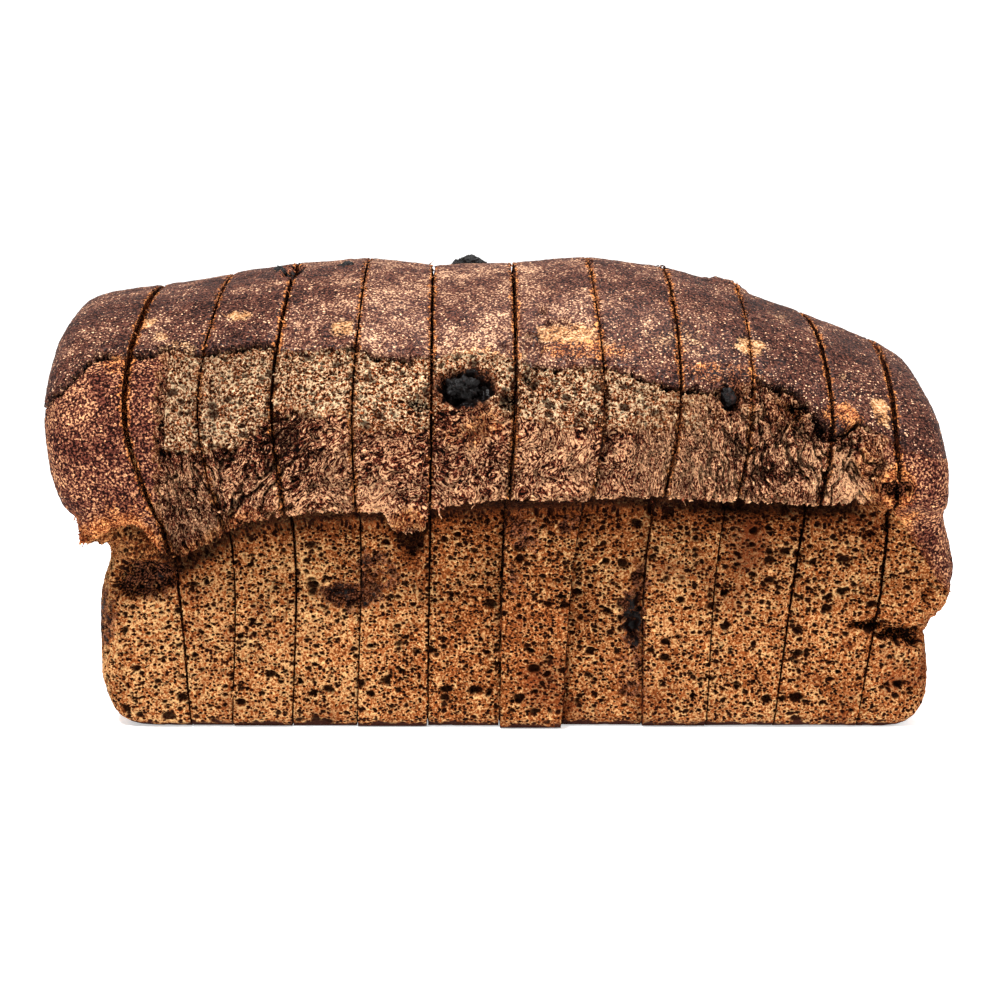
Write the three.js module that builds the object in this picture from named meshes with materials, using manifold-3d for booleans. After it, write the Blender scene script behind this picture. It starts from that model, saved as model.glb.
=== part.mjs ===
// A sliced tin loaf: a dark chocolate bread baked in a straight-sided tin, so that its foot kept the shape
// of the tin while its crown rose over the rim and rolled out past it on every side. It was cut from end to
// end and its twelve slices still stand together, fanned a little because the crown is longer than the foot.
// Millimetres, +Z up. X runs along the loaf, Y across it, with the front at -Y. The origin is the middle of
// the loaf's footprint, on the surface it stands on.
import * as THREE from "three";
import { mergeVertices } from "three/addons/utils/BufferGeometryUtils.js";
import Module from "manifold-3d";

const wasm = await Module();
wasm.setup();

// ---- Driving dimensions ----------------------------------------------------------------------------------
const CROWN_TOP = 116.6; // height of the crown where the loaf stands tallest
const HEART_HEIGHT = 60; // height of the middle of a slice, which the ends round towards
const FOOT_CORNER = 4; // radius of the tin's bottom edge along the loaf
const FRONT = { side: -1, foot: 43.5, neck: 47.5, belt: 62.5 }; // half widths of the front
const BACK = { side: 1, foot: 43.5, neck: 47.5, belt: 60.5 }; // half widths of the back
const LIP_TUCK = 8; // how far the crown's roll turns in under itself before it meets the foot
const DOME_FULLNESS = 0.49; // 0.55 is an ellipse, and less is a flatter shoulder
const END_SQUARENESS = 5.5; // exponent of the superellipse that rounds off both ends
const HALF_STEPS = 60; // segments of each half outline, from the crest down to the middle of the underside
const END_RINGS = 12; // rings between the last cut and the tip of an end

// Where the knife went through, left to right, at the foot, at the neck, across the belt and at the crest,
// and how far each cut has opened at the crest.
const CUTS = [
  { foot: -76.2, neck: -80.0, belt: -88.4, crest: -87.2, open: 1.7 },
  { foot: -66.0, neck: -65.2, belt: -71.2, crest: -68.7, open: 0.7 },
  { foot: -51.2, neck: -50.0, belt: -54.0, crest: -51.6, open: 1.0 },
  { foot: -35.2, neck: -33.8, belt: -35.0, crest: -33.2, open: 0.6 },
  { foot: -17.8, neck: -17.0, belt: -16.4, crest: -16.4, open: 0.8 },
  { foot: 0.0, neck: 0.9, belt: 3.3, crest: 4.1, open: 0.9 },
  { foot: 15.3, neck: 18.6, belt: 24.1, crest: 23.4, open: 0.7 },
  { foot: 35.4, neck: 36.2, belt: 42.1, crest: 43.6, open: 0.6 },
  { foot: 51.2, neck: 53.6, belt: 59.0, crest: 62.4, open: 0.5 },
  { foot: 67.9, neck: 73.2, belt: 78.4, crest: 80.2, open: 1.2 },
  { foot: 88.4, neck: 94.2, belt: 93.8, crest: 102.2, open: 1.8 },
];
const CUT_LEVELS = [0, 46, 76, CROWN_TOP];
const CUT_AT_FOOT = 0.35; // width of every cut at the foot
const CUT_SLEW = -0.02; // how far the knife wandered along the loaf for each step from front to back
const KNIFE_START = -50; // the line across the loaf on which the cuts have the places given above

// How far each slice has been pushed out of line, towards the front when negative.
const SHOVES = [0.3, 0.6, 0.1, 0.5, -0.5, 0.3, -2.6, 1.4, -0.1, 0.2, 0.0, 0.3];

// Chocolate chunks that show in the crust: centre, half sizes and turn.
const CHUNKS = [
  { name: "chocolate_chunk_crest", at: [-8.0, 7.0, 115.0], half: [5.6, 4.0, 3.2], turn: 0.3 },
  { name: "chocolate_chunk_shoulder", at: [-39.6, -13.0, 113.2], half: [3.6, 3.2, 2.8], turn: 0.3 },
  { name: "chocolate_chunk_left_crest", at: [-56.8, -12.5, 112.2], half: [2.6, 3.4, 2.8], turn: 0.2 },
  { name: "chocolate_chunk_break", at: [-9.0, -56.4, 84.8], half: [5.0, 3.4, 3.4], turn: -0.2 },
  { name: "chocolate_chunk_right_break", at: [54.2, -55.9, 82.0], half: [2.6, 2.8, 3.2], turn: 0.4 },
];
const CHUNK_CLEARANCE = 0.35; // gap between a chunk and the pocket that it sits in

const CRUST_BROWN = 0x4a2c20;
const CHOCOLATE = 0x1d1413;

// ---- How the loaf changes along its length ---------------------------------------------------------------
// A smooth curve through a few knots, as a function.
function curve(positions, values) {
  const through = new THREE.CubicInterpolant(positions, values, 1, [0]);
  return (at) => through.evaluate(at)[0];
}

const crestHeight = curve(
  [-114, -106, -92, -66, -42, -13, 14, 27, 51, 63, 81, 96, 104, 112],
  [106.5, 107.5, 108.6, 113, CROWN_TOP, 114.6, CROWN_TOP, CROWN_TOP, 110.4, 106.6, 100, 94.4, 91.5, 88],
);
const beltHeight = curve([-112, -60, 0, 50, 80, 112], [76, 71, 70, 70, 67, 63]);
const lipHeight = curve([-112, -86, -50, -17, 20, 90, 112], [53, 52, 52.5, 53.5, 56.5, 56.5, 54]);
const neckHeight = curve([-112, -80, -72, -60, -30, 20, 90, 112], [42, 40, 45, 50, 51.5, 54.5, 54.5, 47]);

// Where the two ends would stand if they were flat, by height.
const leftEnd = curve(
  [0, 25, 36, 43, 46, 50, 55, 61, 70, 90, CROWN_TOP],
  [-101, -101.3, -100.3, -97.4, -97.6, -101.5, -107, -109.3, -110.6, -111.8, -112],
);
const rightEnd = curve(
  [0, 10, 18, 24, 31, 38, 46, 56, 68, 84, CROWN_TOP],
  [108, 108.8, 108, 107, 111.4, 114, 112.6, 109.6, 109, 107.8, 106],
);

const cutMiddles = CUTS.map((c) => curve(CUT_LEVELS, [c.foot, c.neck, c.belt, c.crest]));

// The face of cut number i, as x at a height and a place across the loaf. Side -1 is the face of the slice
// on the left of the cut, and 1 the face of the slice on its right.
function cutFace(i, side) {
  const width = (z) => THREE.MathUtils.lerp(CUT_AT_FOOT, CUTS[i].open, Math.max(0, z) / CROWN_TOP);
  return (z, y) => cutMiddles[i](z) + CUT_SLEW * (y - KNIFE_START) + (side * width(z)) / 2;
}

// ---- The outline of the loaf at one place along its length -----------------------------------------------
// One half outline, from the crest over the shoulder and the rolled lip to the middle of the underside.
function halfOutline(x, { side, foot, neck, belt }) {
  const crest = crestHeight(x);
  const widest = beltHeight(x);
  const lip = lipHeight(x);
  const path = new THREE.Path();
  path.moveTo(0, crest);
  path.bezierCurveTo(
    side * belt * DOME_FULLNESS, crest,
    side * belt, widest + (crest - widest) * DOME_FULLNESS,
    side * belt, widest,
  );
  path.quadraticCurveTo(side * belt, lip, side * (belt - LIP_TUCK), lip);
  path.lineTo(side * neck, neckHeight(x));
  path.lineTo(side * foot, FOOT_CORNER);
  path.quadraticCurveTo(side * foot, 0, side * (foot - FOOT_CORNER), 0);
  path.lineTo(0, 0);
  return path.getSpacedPoints(HALF_STEPS);
}

// The whole outline as one ring of (y, z) points: down the front and back up behind.
function outline(x) {
  const front = halfOutline(x, FRONT);
  const back = halfOutline(x, BACK);
  return [...front, ...back.slice(1, -1).reverse()];
}

// A ring of points whose x follows a face. The outline is taken where the face crosses the heart.
function ringOn(face, shove) {
  return outline(face(HEART_HEIGHT, 0)).map((p) => {
    const y = p.x + shove;
    return new THREE.Vector3(face(p.y, y), y, p.y);
  });
}

// ---- Closed bodies from rings ----------------------------------------------------------------------------
// Closes a flat ring by strips from its front to its back, so that a gently bent cut face stays true.
function coverRing(start, count, outwards, index) {
  const half = count / 2;
  const add = (a, b, c) => (outwards ? index.push(a, b, c) : index.push(a, c, b));
  const front = (k) => start + k;
  const back = (k) => start + ((count - k) % count);
  add(front(0), front(1), back(1));
  for (let k = 1; k < half - 1; k++) {
    add(front(k), front(k + 1), back(k));
    add(back(k), front(k + 1), back(k + 1));
  }
  add(front(half - 1), front(half), back(half - 1));
}

// Joins rings of equal length into one closed body. A tip closes the right end at a single point.
function loft(rings, tip = null) {
  const count = rings[0].length;
  const points = rings.flat();
  const index = [];
  for (let r = 0; r + 1 < rings.length; r++) {
    for (let k = 0; k < count; k++) {
      const a = r * count + k;
      const b = r * count + ((k + 1) % count);
      index.push(a, b, a + count, b, b + count, a + count);
    }
  }
  const last = (rings.length - 1) * count;
  coverRing(0, count, false, index);
  if (tip) {
    points.push(tip);
    for (let k = 0; k < count; k++) index.push(last + k, last + ((k + 1) % count), points.length - 1);
  } else {
    coverRing(last, count, true, index);
  }
  return new THREE.BufferGeometry().setFromPoints(points).setIndex(index);
}

// Turns every face of a body round, for one whose rings ran the other way.
function turnedOut(geometry) {
  const index = geometry.getIndex().array;
  for (let i = 0; i < index.length; i += 3) [index[i + 1], index[i + 2]] = [index[i + 2], index[i + 1]];
  return geometry;
}

// ---- Slices ----------------------------------------------------------------------------------------------
function middleSlice(i) {
  return loft([ringOn(cutFace(i - 1, 1), SHOVES[i]), ringOn(cutFace(i, -1), SHOVES[i])]);
}

// An end slice: rings that shrink towards the heart of the loaf as they near the tip.
function endSlice(face, end, shove) {
  const heart = new THREE.Vector2(0, HEART_HEIGHT);
  const rings = [ringOn(face, shove)];
  for (let r = 1; r < END_RINGS; r++) {
    const size = 1 - (r / END_RINGS) ** 3;
    const reach = (1 - size ** END_SQUARENESS) ** (1 / END_SQUARENESS);
    const middle = THREE.MathUtils.lerp(face(HEART_HEIGHT, 0), end(HEART_HEIGHT), reach);
    rings.push(
      outline(middle).map((p) => {
        const q = p.clone().sub(heart).multiplyScalar(size).add(heart);
        const y = q.x + shove;
        return new THREE.Vector3(THREE.MathUtils.lerp(face(q.y, y), end(q.y), reach), y, q.y);
      }),
    );
  }
  return loft(rings, new THREE.Vector3(end(HEART_HEIGHT), shove, HEART_HEIGHT));
}

// ---- Chocolate -------------------------------------------------------------------------------------------
function chunkGeometry({ at, half, turn }, grow = 0) {
  return new THREE.DodecahedronGeometry(1, 0)
    .scale(half[0] + grow, half[1] + grow, half[2] + grow)
    .rotateZ(turn)
    .translate(...at);
}

// ---- Booleans --------------------------------------------------------------------------------------------
function solidOf(geometry) {
  const bare = geometry.clone();
  for (const name of Object.keys(bare.attributes)) if (name !== "position") bare.deleteAttribute(name);
  const merged = mergeVertices(bare, 1e-4);
  return new wasm.Manifold(
    new wasm.Mesh({
      numProp: 3,
      vertProperties: merged.attributes.position.array,
      triVerts: new Uint32Array(merged.index.array),
    }),
  );
}

function geometryOf(solid) {
  const mesh = solid.getMesh();
  return new THREE.BufferGeometry()
    .setAttribute("position", new THREE.BufferAttribute(mesh.vertProperties, 3))
    .setIndex(new THREE.BufferAttribute(mesh.triVerts, 1));
}

// ---- The loaf --------------------------------------------------------------------------------------------
const crust = new THREE.MeshStandardMaterial({ color: CRUST_BROWN, roughness: 0.6, metalness: 0 });
const chocolate = new THREE.MeshStandardMaterial({ color: CHOCOLATE, roughness: 0.3, metalness: 0 });

const lastSlice = CUTS.length;
const loaf = new THREE.Group();
const pockets = CHUNKS.map((chunk) => solidOf(chunkGeometry(chunk, CHUNK_CLEARANCE)));

for (let i = 0; i <= lastSlice; i++) {
  let geometry;
  if (i === 0) geometry = turnedOut(endSlice(cutFace(0, -1), leftEnd, SHOVES[0]));
  else if (i === lastSlice) geometry = endSlice(cutFace(lastSlice - 1, 1), rightEnd, SHOVES[lastSlice]);
  else geometry = middleSlice(i);
  const carved = pockets.reduce((solid, pocket) => solid.subtract(pocket), solidOf(geometry));
  const mesh = new THREE.Mesh(geometryOf(carved), crust);
  mesh.name = i === 0 ? "heel_left" : i === lastSlice ? "heel_right" : `slice_${String(i + 1).padStart(2, "0")}`;
  loaf.add(mesh);
}

for (const chunk of CHUNKS) {
  const mesh = new THREE.Mesh(chunkGeometry(chunk), chocolate);
  mesh.name = chunk.name;
  loaf.add(mesh);
}

// The loaf is moved so that the middle of its box's underside is the origin.
const box = new THREE.Box3().setFromObject(loaf);
const middle = box.getCenter(new THREE.Vector3());
loaf.position.set(-middle.x, -middle.y, -box.min.z);

export default loaf;
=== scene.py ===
# %% [markdown]
# # A sliced chocolate tin loaf
#
# This lesson finishes a loaf of dark chocolate bread. The CAD model gives twelve plain slices and five
# lumps of chocolate in their places. Here each slice gets the skin of real bread: satin crust on top, a
# torn break along the front, a wrinkled roll under it, and open crumb on the foot that stood in the tin.
#
# The slices are fixed by the frame, so the first step loads it, and every piece made later is hung on it.

import bmesh
import bpy
import numpy as np
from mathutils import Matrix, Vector
from mathutils.bvhtree import BVHTree


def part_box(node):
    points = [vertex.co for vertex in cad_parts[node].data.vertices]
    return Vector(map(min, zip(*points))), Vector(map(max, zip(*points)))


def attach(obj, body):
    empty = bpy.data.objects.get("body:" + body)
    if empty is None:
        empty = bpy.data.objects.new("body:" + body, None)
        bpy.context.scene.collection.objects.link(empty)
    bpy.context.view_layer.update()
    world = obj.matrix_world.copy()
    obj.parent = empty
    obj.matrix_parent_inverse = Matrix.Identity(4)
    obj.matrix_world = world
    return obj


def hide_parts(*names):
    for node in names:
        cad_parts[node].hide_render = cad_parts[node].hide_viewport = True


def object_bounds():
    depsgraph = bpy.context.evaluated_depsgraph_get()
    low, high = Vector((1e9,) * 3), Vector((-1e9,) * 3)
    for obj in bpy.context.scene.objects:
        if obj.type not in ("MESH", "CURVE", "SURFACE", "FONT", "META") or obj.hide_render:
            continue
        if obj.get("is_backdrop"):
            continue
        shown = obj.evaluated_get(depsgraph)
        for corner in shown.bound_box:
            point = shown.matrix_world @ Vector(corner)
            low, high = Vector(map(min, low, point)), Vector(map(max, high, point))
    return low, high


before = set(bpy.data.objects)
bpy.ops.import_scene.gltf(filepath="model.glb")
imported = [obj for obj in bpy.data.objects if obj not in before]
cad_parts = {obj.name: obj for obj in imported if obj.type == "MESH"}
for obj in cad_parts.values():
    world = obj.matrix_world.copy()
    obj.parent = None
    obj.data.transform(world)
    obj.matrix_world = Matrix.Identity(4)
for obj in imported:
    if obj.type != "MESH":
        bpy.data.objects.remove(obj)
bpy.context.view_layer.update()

MM = 0.001


def middle_of(name):
    """The middle of a CAD piece's box."""
    low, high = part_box(name)
    return (low + high) / 2


BREAD = sorted((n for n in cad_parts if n.startswith(("heel", "slice"))), key=lambda n: middle_of(n).x)
CHOCOLATE = sorted(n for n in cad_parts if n.startswith("chocolate"))

# %% [markdown]
# ## Camera
#
# The loaf is seen square on from its long side and from a little above, at half a metre, as across a
# table. A lens of about 74 mm at that distance keeps some perspective, so the crown looks wider than the
# foot behind it. The camera comes first, because every later choice is judged through it.

# %% Camera
VIEW_TARGET = Vector((-1.2, 0.0, 58.0)) * MM
VIEW_DISTANCE = 543.5 * MM
VIEW_ELEVATION = np.radians(5.0)
VIEW_LENS = 73.8  # mm, on a sensor 36 mm wide
VIEW_SHIFT = -0.0198  # puts the loaf a little above the middle of the frame

camera = bpy.data.objects.new("camera", bpy.data.cameras.new("camera"))
camera.data.lens = VIEW_LENS
camera.data.sensor_width = 36.0
camera.data.shift_y = VIEW_SHIFT
camera.data.clip_start = 0.01
towards_viewer = Vector((0.0, -np.cos(VIEW_ELEVATION), np.sin(VIEW_ELEVATION)))
camera.location = VIEW_TARGET + towards_viewer * VIEW_DISTANCE
camera.rotation_euler = (-towards_viewer).to_track_quat("-Z", "Y").to_euler()
bpy.context.scene.collection.objects.link(camera)
bpy.context.scene.camera = camera
print("the camera stands", round(VIEW_DISTANCE / MM), "mm from the middle of the loaf")

# %% [markdown]
# ## Studio
#
# Bread shows its surface by small shadows, so it needs a key light from above and in front that rakes
# down over the crown, and a bright, pale room that fills the shadows and leaves the pores dark. A large
# weak light above and a small one at the side round off the dark ends.

# %% Lights and room
def area_light(name, place, aim, size, watts):
    """A soft rectangular light at a place, turned towards its aim."""
    light = bpy.data.objects.new(name, bpy.data.lights.new(name, "AREA"))
    light.data.shape = "RECTANGLE"
    light.data.size, light.data.size_y = size
    light.data.energy = watts
    light.location = place
    light.rotation_euler = (Vector(aim) - Vector(place)).to_track_quat("-Z", "Y").to_euler()
    bpy.context.scene.collection.objects.link(light)


area_light("key", place=(-0.25, -0.6, 0.95), aim=(0, 0, 0.07), size=(0.22, 0.18), watts=16)
area_light("top", place=(0.15, 0.1, 0.9), aim=(0, 0, 0.05), size=(0.6, 0.4), watts=5)
area_light("side", place=(0.75, -0.45, 0.4), aim=(0, 0, 0.06), size=(0.3, 0.3), watts=3)

world = bpy.data.worlds.new("pale room")
world.use_nodes = True
background = world.node_tree.nodes["Background"].inputs
background["Color"].default_value = (1.0, 1.0, 1.0, 1.0)
background["Strength"].default_value = 0.55
bpy.context.scene.world = world
bpy.context.scene.view_settings.view_transform = "Standard"
print(len(bpy.data.lights), "lights in a", world.name)

# %% [markdown]
# The floor is plain and pale, and it curves up into a wall far behind the loaf, so no horizon shows. It
# glows a little, as a lit sheet of paper does, so the shadow under the loaf stays soft. It is marked as
# stage, so it isn't part of the loaf.

# %% Floor
BEND_START, BEND_RADIUS = 3.0, 2.0  # metres behind the loaf, and metres
FLOOR_FRONT, WALL_TOP, HALF_WIDTH = -4.0, 6.0, 8

turns = np.linspace(0, np.pi / 2, 24)
bend = [(BEND_START + BEND_RADIUS * np.sin(a), BEND_RADIUS - BEND_RADIUS * np.cos(a)) for a in turns]
sweep = [(FLOOR_FRONT, 0.0)] + bend + [(BEND_START + BEND_RADIUS, WALL_TOP)]
corners = [(x, y, z) for y, z in sweep for x in (-HALF_WIDTH, HALF_WIDTH)]
strips = [(2 * i, 2 * i + 1, 2 * i + 3, 2 * i + 2) for i in range(len(sweep) - 1)]
floor_mesh = bpy.data.meshes.new("floor")
floor_mesh.from_pydata(corners, [], strips)
floor_mesh.shade_smooth()
floor = bpy.data.objects.new("floor", floor_mesh)

floor_paint = bpy.data.materials.new("pale floor")
floor_paint.use_nodes = True
sheet = floor_paint.node_tree.nodes["Principled BSDF"].inputs
sheet["Base Color"].default_value = (0.95, 0.95, 0.95, 1)
sheet["Roughness"].default_value = 0.8
sheet["Emission Color"].default_value = (1, 1, 1, 1)
sheet["Emission Strength"].default_value = 0.5
floor_mesh.materials.append(floor_paint)
bpy.context.scene.collection.objects.link(floor)
floor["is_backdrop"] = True
print("the floor has", len(strips), "strips")

# %% [markdown]
# ## Where each kind of surface lies
#
# A tin loaf has four kinds of surface. The crust bakes where the dough meets the oven's air. When the
# dough springs up in the oven it tears along one side, and the tear shows pale crumb: bakers call it the
# break, or the shred. Below it the dough rolls out over the rim of the tin in a wrinkled lip, and the foot
# inside the tin stays open and porous.
#
# The borders between them run along the loaf, so each one is a line that gives a height in millimetres for
# every place along it. They are drawn with a few points. The front has the large break.

# %% Lines along the front
def line(*points):
    """A line through a few points (place along the loaf, value)."""
    xs, zs = zip(*points)
    return lambda x: np.interp(x, xs, zs)


CRACK_FRONT = line(
    (-112, 79), (-105, 85), (-98, 92.5), (-90, 92), (-82, 93.8), (-73, 92.6), (-57, 95), (-54, 93.2),
    (-41, 93.8), (-35, 94.4), (-31, 92.3), (-23, 91.6), (-6, 93), (4, 91), (11, 89.2), (23, 90.2),
    (30, 88), (38, 85), (49, 84.3), (61, 86.6), (70, 83.5), (73, 79.5), (78, 74), (84, 77), (95, 70),
    (112, 66)
)
CRACK_OPEN_FRONT = line(
    (-108, 0.5), (-98, 1.0), (-92, 0.5), (-86, 0.7), (-78, 0.4), (-72, 0.9), (-57, 0.9), (-50, 0.35),
    (-40, 0.35), (-35, 1.0), (-24, 0.8), (-17, 0.15), (2, 0.1), (8, 0.9), (24, 1.0), (48, 1.0),
    (58, 0.25), (66, 1.0), (79, 0.9), (86, 0.3), (98, 0.0)
)
ROLL_FRONT = line(
    (-81, 70), (-72, 70), (-63, 71.5), (-57, 76.5), (-54, 79.5), (-38, 79.3), (-34, 75.2), (-18, 76),
    (-15, 80.5), (-4, 80.5), (3, 78.5), (13, 76.4), (22, 75.3), (41, 75), (50, 76), (60, 79), (75, 76),
    (90, 70)
)
BREAK_STRENGTH_FRONT = line(
    (-80.5, 0.0), (-79.7, 1.0), (-17, 1.0), (-15, 0.85), (2, 0.9), (24, 1.0), (36, 0.7), (56, 0.45),
    (80, 0.3), (92, 0.0)
)
LIP_FRONT = line(
    (-112, 54), (-100, 51), (-88, 53), (-83, 46.5), (-80, 43), (-72, 47.5), (-66, 52), (-61, 54),
    (-51, 55.4), (-37, 56.2), (-29, 56.4), (-26, 52.0), (-23, 49.0), (-20.5, 50.5), (-18, 57.0),
    (2, 59.4), (32, 59.6), (61, 58.8), (82, 58.5), (89, 58.5), (96, 53), (101, 45), (106, 37), (112, 31)
)
print("the crack runs", CRACK_FRONT(0.0), "mm above the board in the middle of the front")

# %% [markdown]
# The back rose evenly in the tin, so its lines are plainer, and its break is shorter and weaker.

# %% Lines along the back
CRACK_BACK = line((-112, 84), (-70, 94), (-30, 89), (10, 92), (50, 84), (80, 79), (112, 70))
CRACK_OPEN_BACK = line((-100, 0.2), (-60, 0.9), (-25, 0.4), (0, 0.1), (25, 0.8), (60, 0.6), (90, 0.2))
ROLL_BACK = line((-90, 78), (-60, 82), (-20, 78), (20, 82), (60, 76), (90, 74))
BREAK_STRENGTH_BACK = line(
    (-84, 0.0), (-66, 0.8), (-38, 0.9), (-20, 0.3), (8, 0.4), (30, 0.9), (62, 0.6), (80, 0.0)
)
LIP_BACK = line((-112, 54), (-80, 51), (-50, 55), (0, 57), (60, 58.5), (89, 57), (112, 44))
print("the back has a lip", LIP_BACK(0.0), "mm above the board in the middle")

# %% [markdown]
# Other things change along the loaf without a height: how far the lip stands off the foot, where smooth
# skin goes on below the crack, which way the dough was pulled, how deep its folds are, where the lip tore
# orange, and how much lighter or darker each part baked.

# %% Strengths along the loaf
LIP_OPEN = line((-96, 0.15), (-84, 0.9), (84, 1.0), (91, 0.1), (112, 0.0))
SKIN = line((-86, 1), (-78.5, 0.0), (84, 0.0), (94, 1))
SLANT = line(
    (-110, 0.2), (-80, 0.5), (-66, 0.8), (-45, 0.4), (-10, 0), (30, -0.1), (55, 0.35), (75, 0.5),
    (90, 0.1)
)
FOLDS = line(
    (-90, 0.2), (-78, 1.0), (-54, 1.0), (-40, 0.4), (0, 0.35), (40, 0.4), (58, 1.0), (84, 1.0), (96, 0.2)
)
NECK = line((-112, 1.0), (-62, 1.0), (-52, 0.15), (84, 0.15), (90, 0.8), (100, 0.3))
TONE_TOP = line(
    (-112, -0.12), (-60, -0.08), (-35, 0.02), (-8, 0.08), (10, 0.06), (30, -0.06), (60, -0.12),
    (112, -0.14)
)
TONE_FOOT = line(
    (-112, 0.04), (-45, 0.06), (-20, -0.06), (0, -0.14), (20, -0.08), (40, 0.0), (80, -0.06), (112, -0.12)
)
TONE_ROLL = line((-112, 0.0), (-60, -0.06), (-40, -0.03), (0, 0.03), (15, 0.14), (45, 0.08), (112, 0.1))
print("the lip stands off the foot by", LIP_OPEN(0.0), "of its full reach in the middle")

# %% [markdown]
# ## Pits, smears and pale patches
#
# Single things that the oven left on this loaf. Each is an ellipsoid with a centre and half sizes in
# millimetres, and a strength: how deep it digs, how dark it stains, or how pale it bakes. The first are
# the pits, where chocolate melted out of the dough or the dough tore open.

# %% Pits: centre, half sizes, depth
PITS = [
    ((-11.5, -58, 85.5), (3.4, 6, 4.4), 5.5),
    ((-6.0, -58, 85.2), (4.2, 6, 3.0), 4.2),
    ((1.0, -60, 81.6), (2.0, 5, 2.2), 3.6),
    ((-20.4, -59, 81.2), (2.6, 5, 1.7), 2.6),
    ((53.6, -57, 83.0), (2.2, 5, 3.6), 4.4),
    ((69.3, -58, 80.6), (2.2, 5, 2.8), 3.2),
    ((74.6, -58, 75.8), (1.6, 5, 3.6), 2.8),
    ((5.4, -60, 87.6), (1.7, 4, 1.6), 2.4),
    ((6.9, -61, 85.2), (1.0, 4, 0.9), 1.8),
    ((9.3, -44, 103.4), (0.8, 5, 0.95), 2.4),
    ((10.7, -48, 100.3), (0.85, 5, 0.9), 2.4),
    ((14.2, -48, 100.7), (1.3, 5, 1.1), 1.8),
    ((17.0, -50, 99.0), (0.7, 4, 0.6), 1.2),
    ((19.5, -51, 98.2), (0.6, 4, 0.5), 1.0),
    ((0.2, -53, 95.8), (1.2, 4, 2.0), 1.5),
    ((6.6, -54, 95.4), (2.3, 5, 4.2), 1.4),
    ((-90.5, -46, 37.5), (8.5, 5, 4.4), 4.2),
    ((-83.4, -45, 38.0), (2.4, 5, 3.2), 3.0),
    ((-39.0, -46, 33.2), (5.2, 5, 2.4), 2.0),
    ((-33.0, -46, 39.0), (3.0, 5, 3.4), 1.4),
    ((-60.0, -45, 29.5), (1.8, 4, 3.4), 0.9),
    ((31.2, -44, 25.5), (1.5, 4, 2.6), 2.2),
    ((33.0, -44, 32.0), (1.0, 4, 3.0), 1.6),
    ((92.6, -60, 60.6), (3.6, 6, 2.2), 4.5),
    ((90.2, -52, 50.0), (1.2, 5, 2.6), 2.0),
    ((88.6, -49, 49.0), (3.2, 5, 1.0), 2.0),
    ((89.0, -45, 25.8), (4.6, 5, 1.1), 2.6),
    ((96.5, -45, 23.6), (5.0, 5, 1.7), 4.4),
    ((103.5, -44, 22.8), (5.0, 5, 2.6), 5.0),
    ((109.0, -20, 23.5), (4.0, 22, 2.8), 4.0),
    ((103.5, -46, 33.5), (2.0, 4, 2.0), 2.4),
    ((-54.2, -14, 112.6), (2.8, 6, 4.2), 2.4),
    ((-102, -49, 87.0), (1.0, 4, 1.0), 0.8),
    ((-92.6, -57, 77.5), (0.9, 4, 0.9), 1.0),
]
print(len(PITS), "pits, the deepest", max(depth for *_, depth in PITS), "mm")

# %% [markdown]
# Chocolate that melted in the dough left smears: nearly black in the middle and brown at the edge.

# %% Smears: centre, half sizes, darkness
SMEARS = [
    ((-9.0, -58, 85.0), (7.4, 9, 5.0), 1.25),
    ((-38.0, -46, 33.6), (8.5, 6, 4.2), 0.75),
    ((-31.0, -46, 39.5), (6.5, 6, 5.5), 0.6),
    ((31.4, -44, 27.0), (3.0, 6, 8.0), 0.95),
    ((31.6, -43, 12.0), (4.6, 6, 9.0), 0.45),
    ((33.2, -45, 37.0), (2.4, 6, 6.0), 0.5),
    ((4.6, -48, 49.0), (5.2, 6, 4.6), 0.55),
    ((18.0, -50, 51.0), (6.0, 6, 3.2), 0.45),
    ((53.6, -57, 83.0), (2.8, 7, 4.2), 0.8),
    ((-88.0, -45, 37.0), (9.0, 6, 4.6), 0.55),
    ((-100.5, -40, 27.0), (4.5, 26, 9.0), 0.75),
    ((-54.0, -14, 112.6), (3.6, 6, 5.0), 0.95),
    ((-60.0, -45, 29.5), (2.2, 4, 3.8), 0.35),
    ((2.2, -47, 38.0), (1.6, 5, 4.0), 0.5),
    ((92.0, -60, 60.6), (4.0, 6, 2.6), 0.7),
    ((-2.0, 46, 30.0), (7.0, 6, 10.0), 0.6),
    ((-62.0, 46, 38.0), (9.0, 6, 4.0), 0.6),
    ((58.0, 46, 16.0), (4.0, 6, 8.0), 0.7),
]
print(len(SMEARS), "smears")

# %% [markdown]
# Blisters and flour leave pale patches on the crust.

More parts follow.
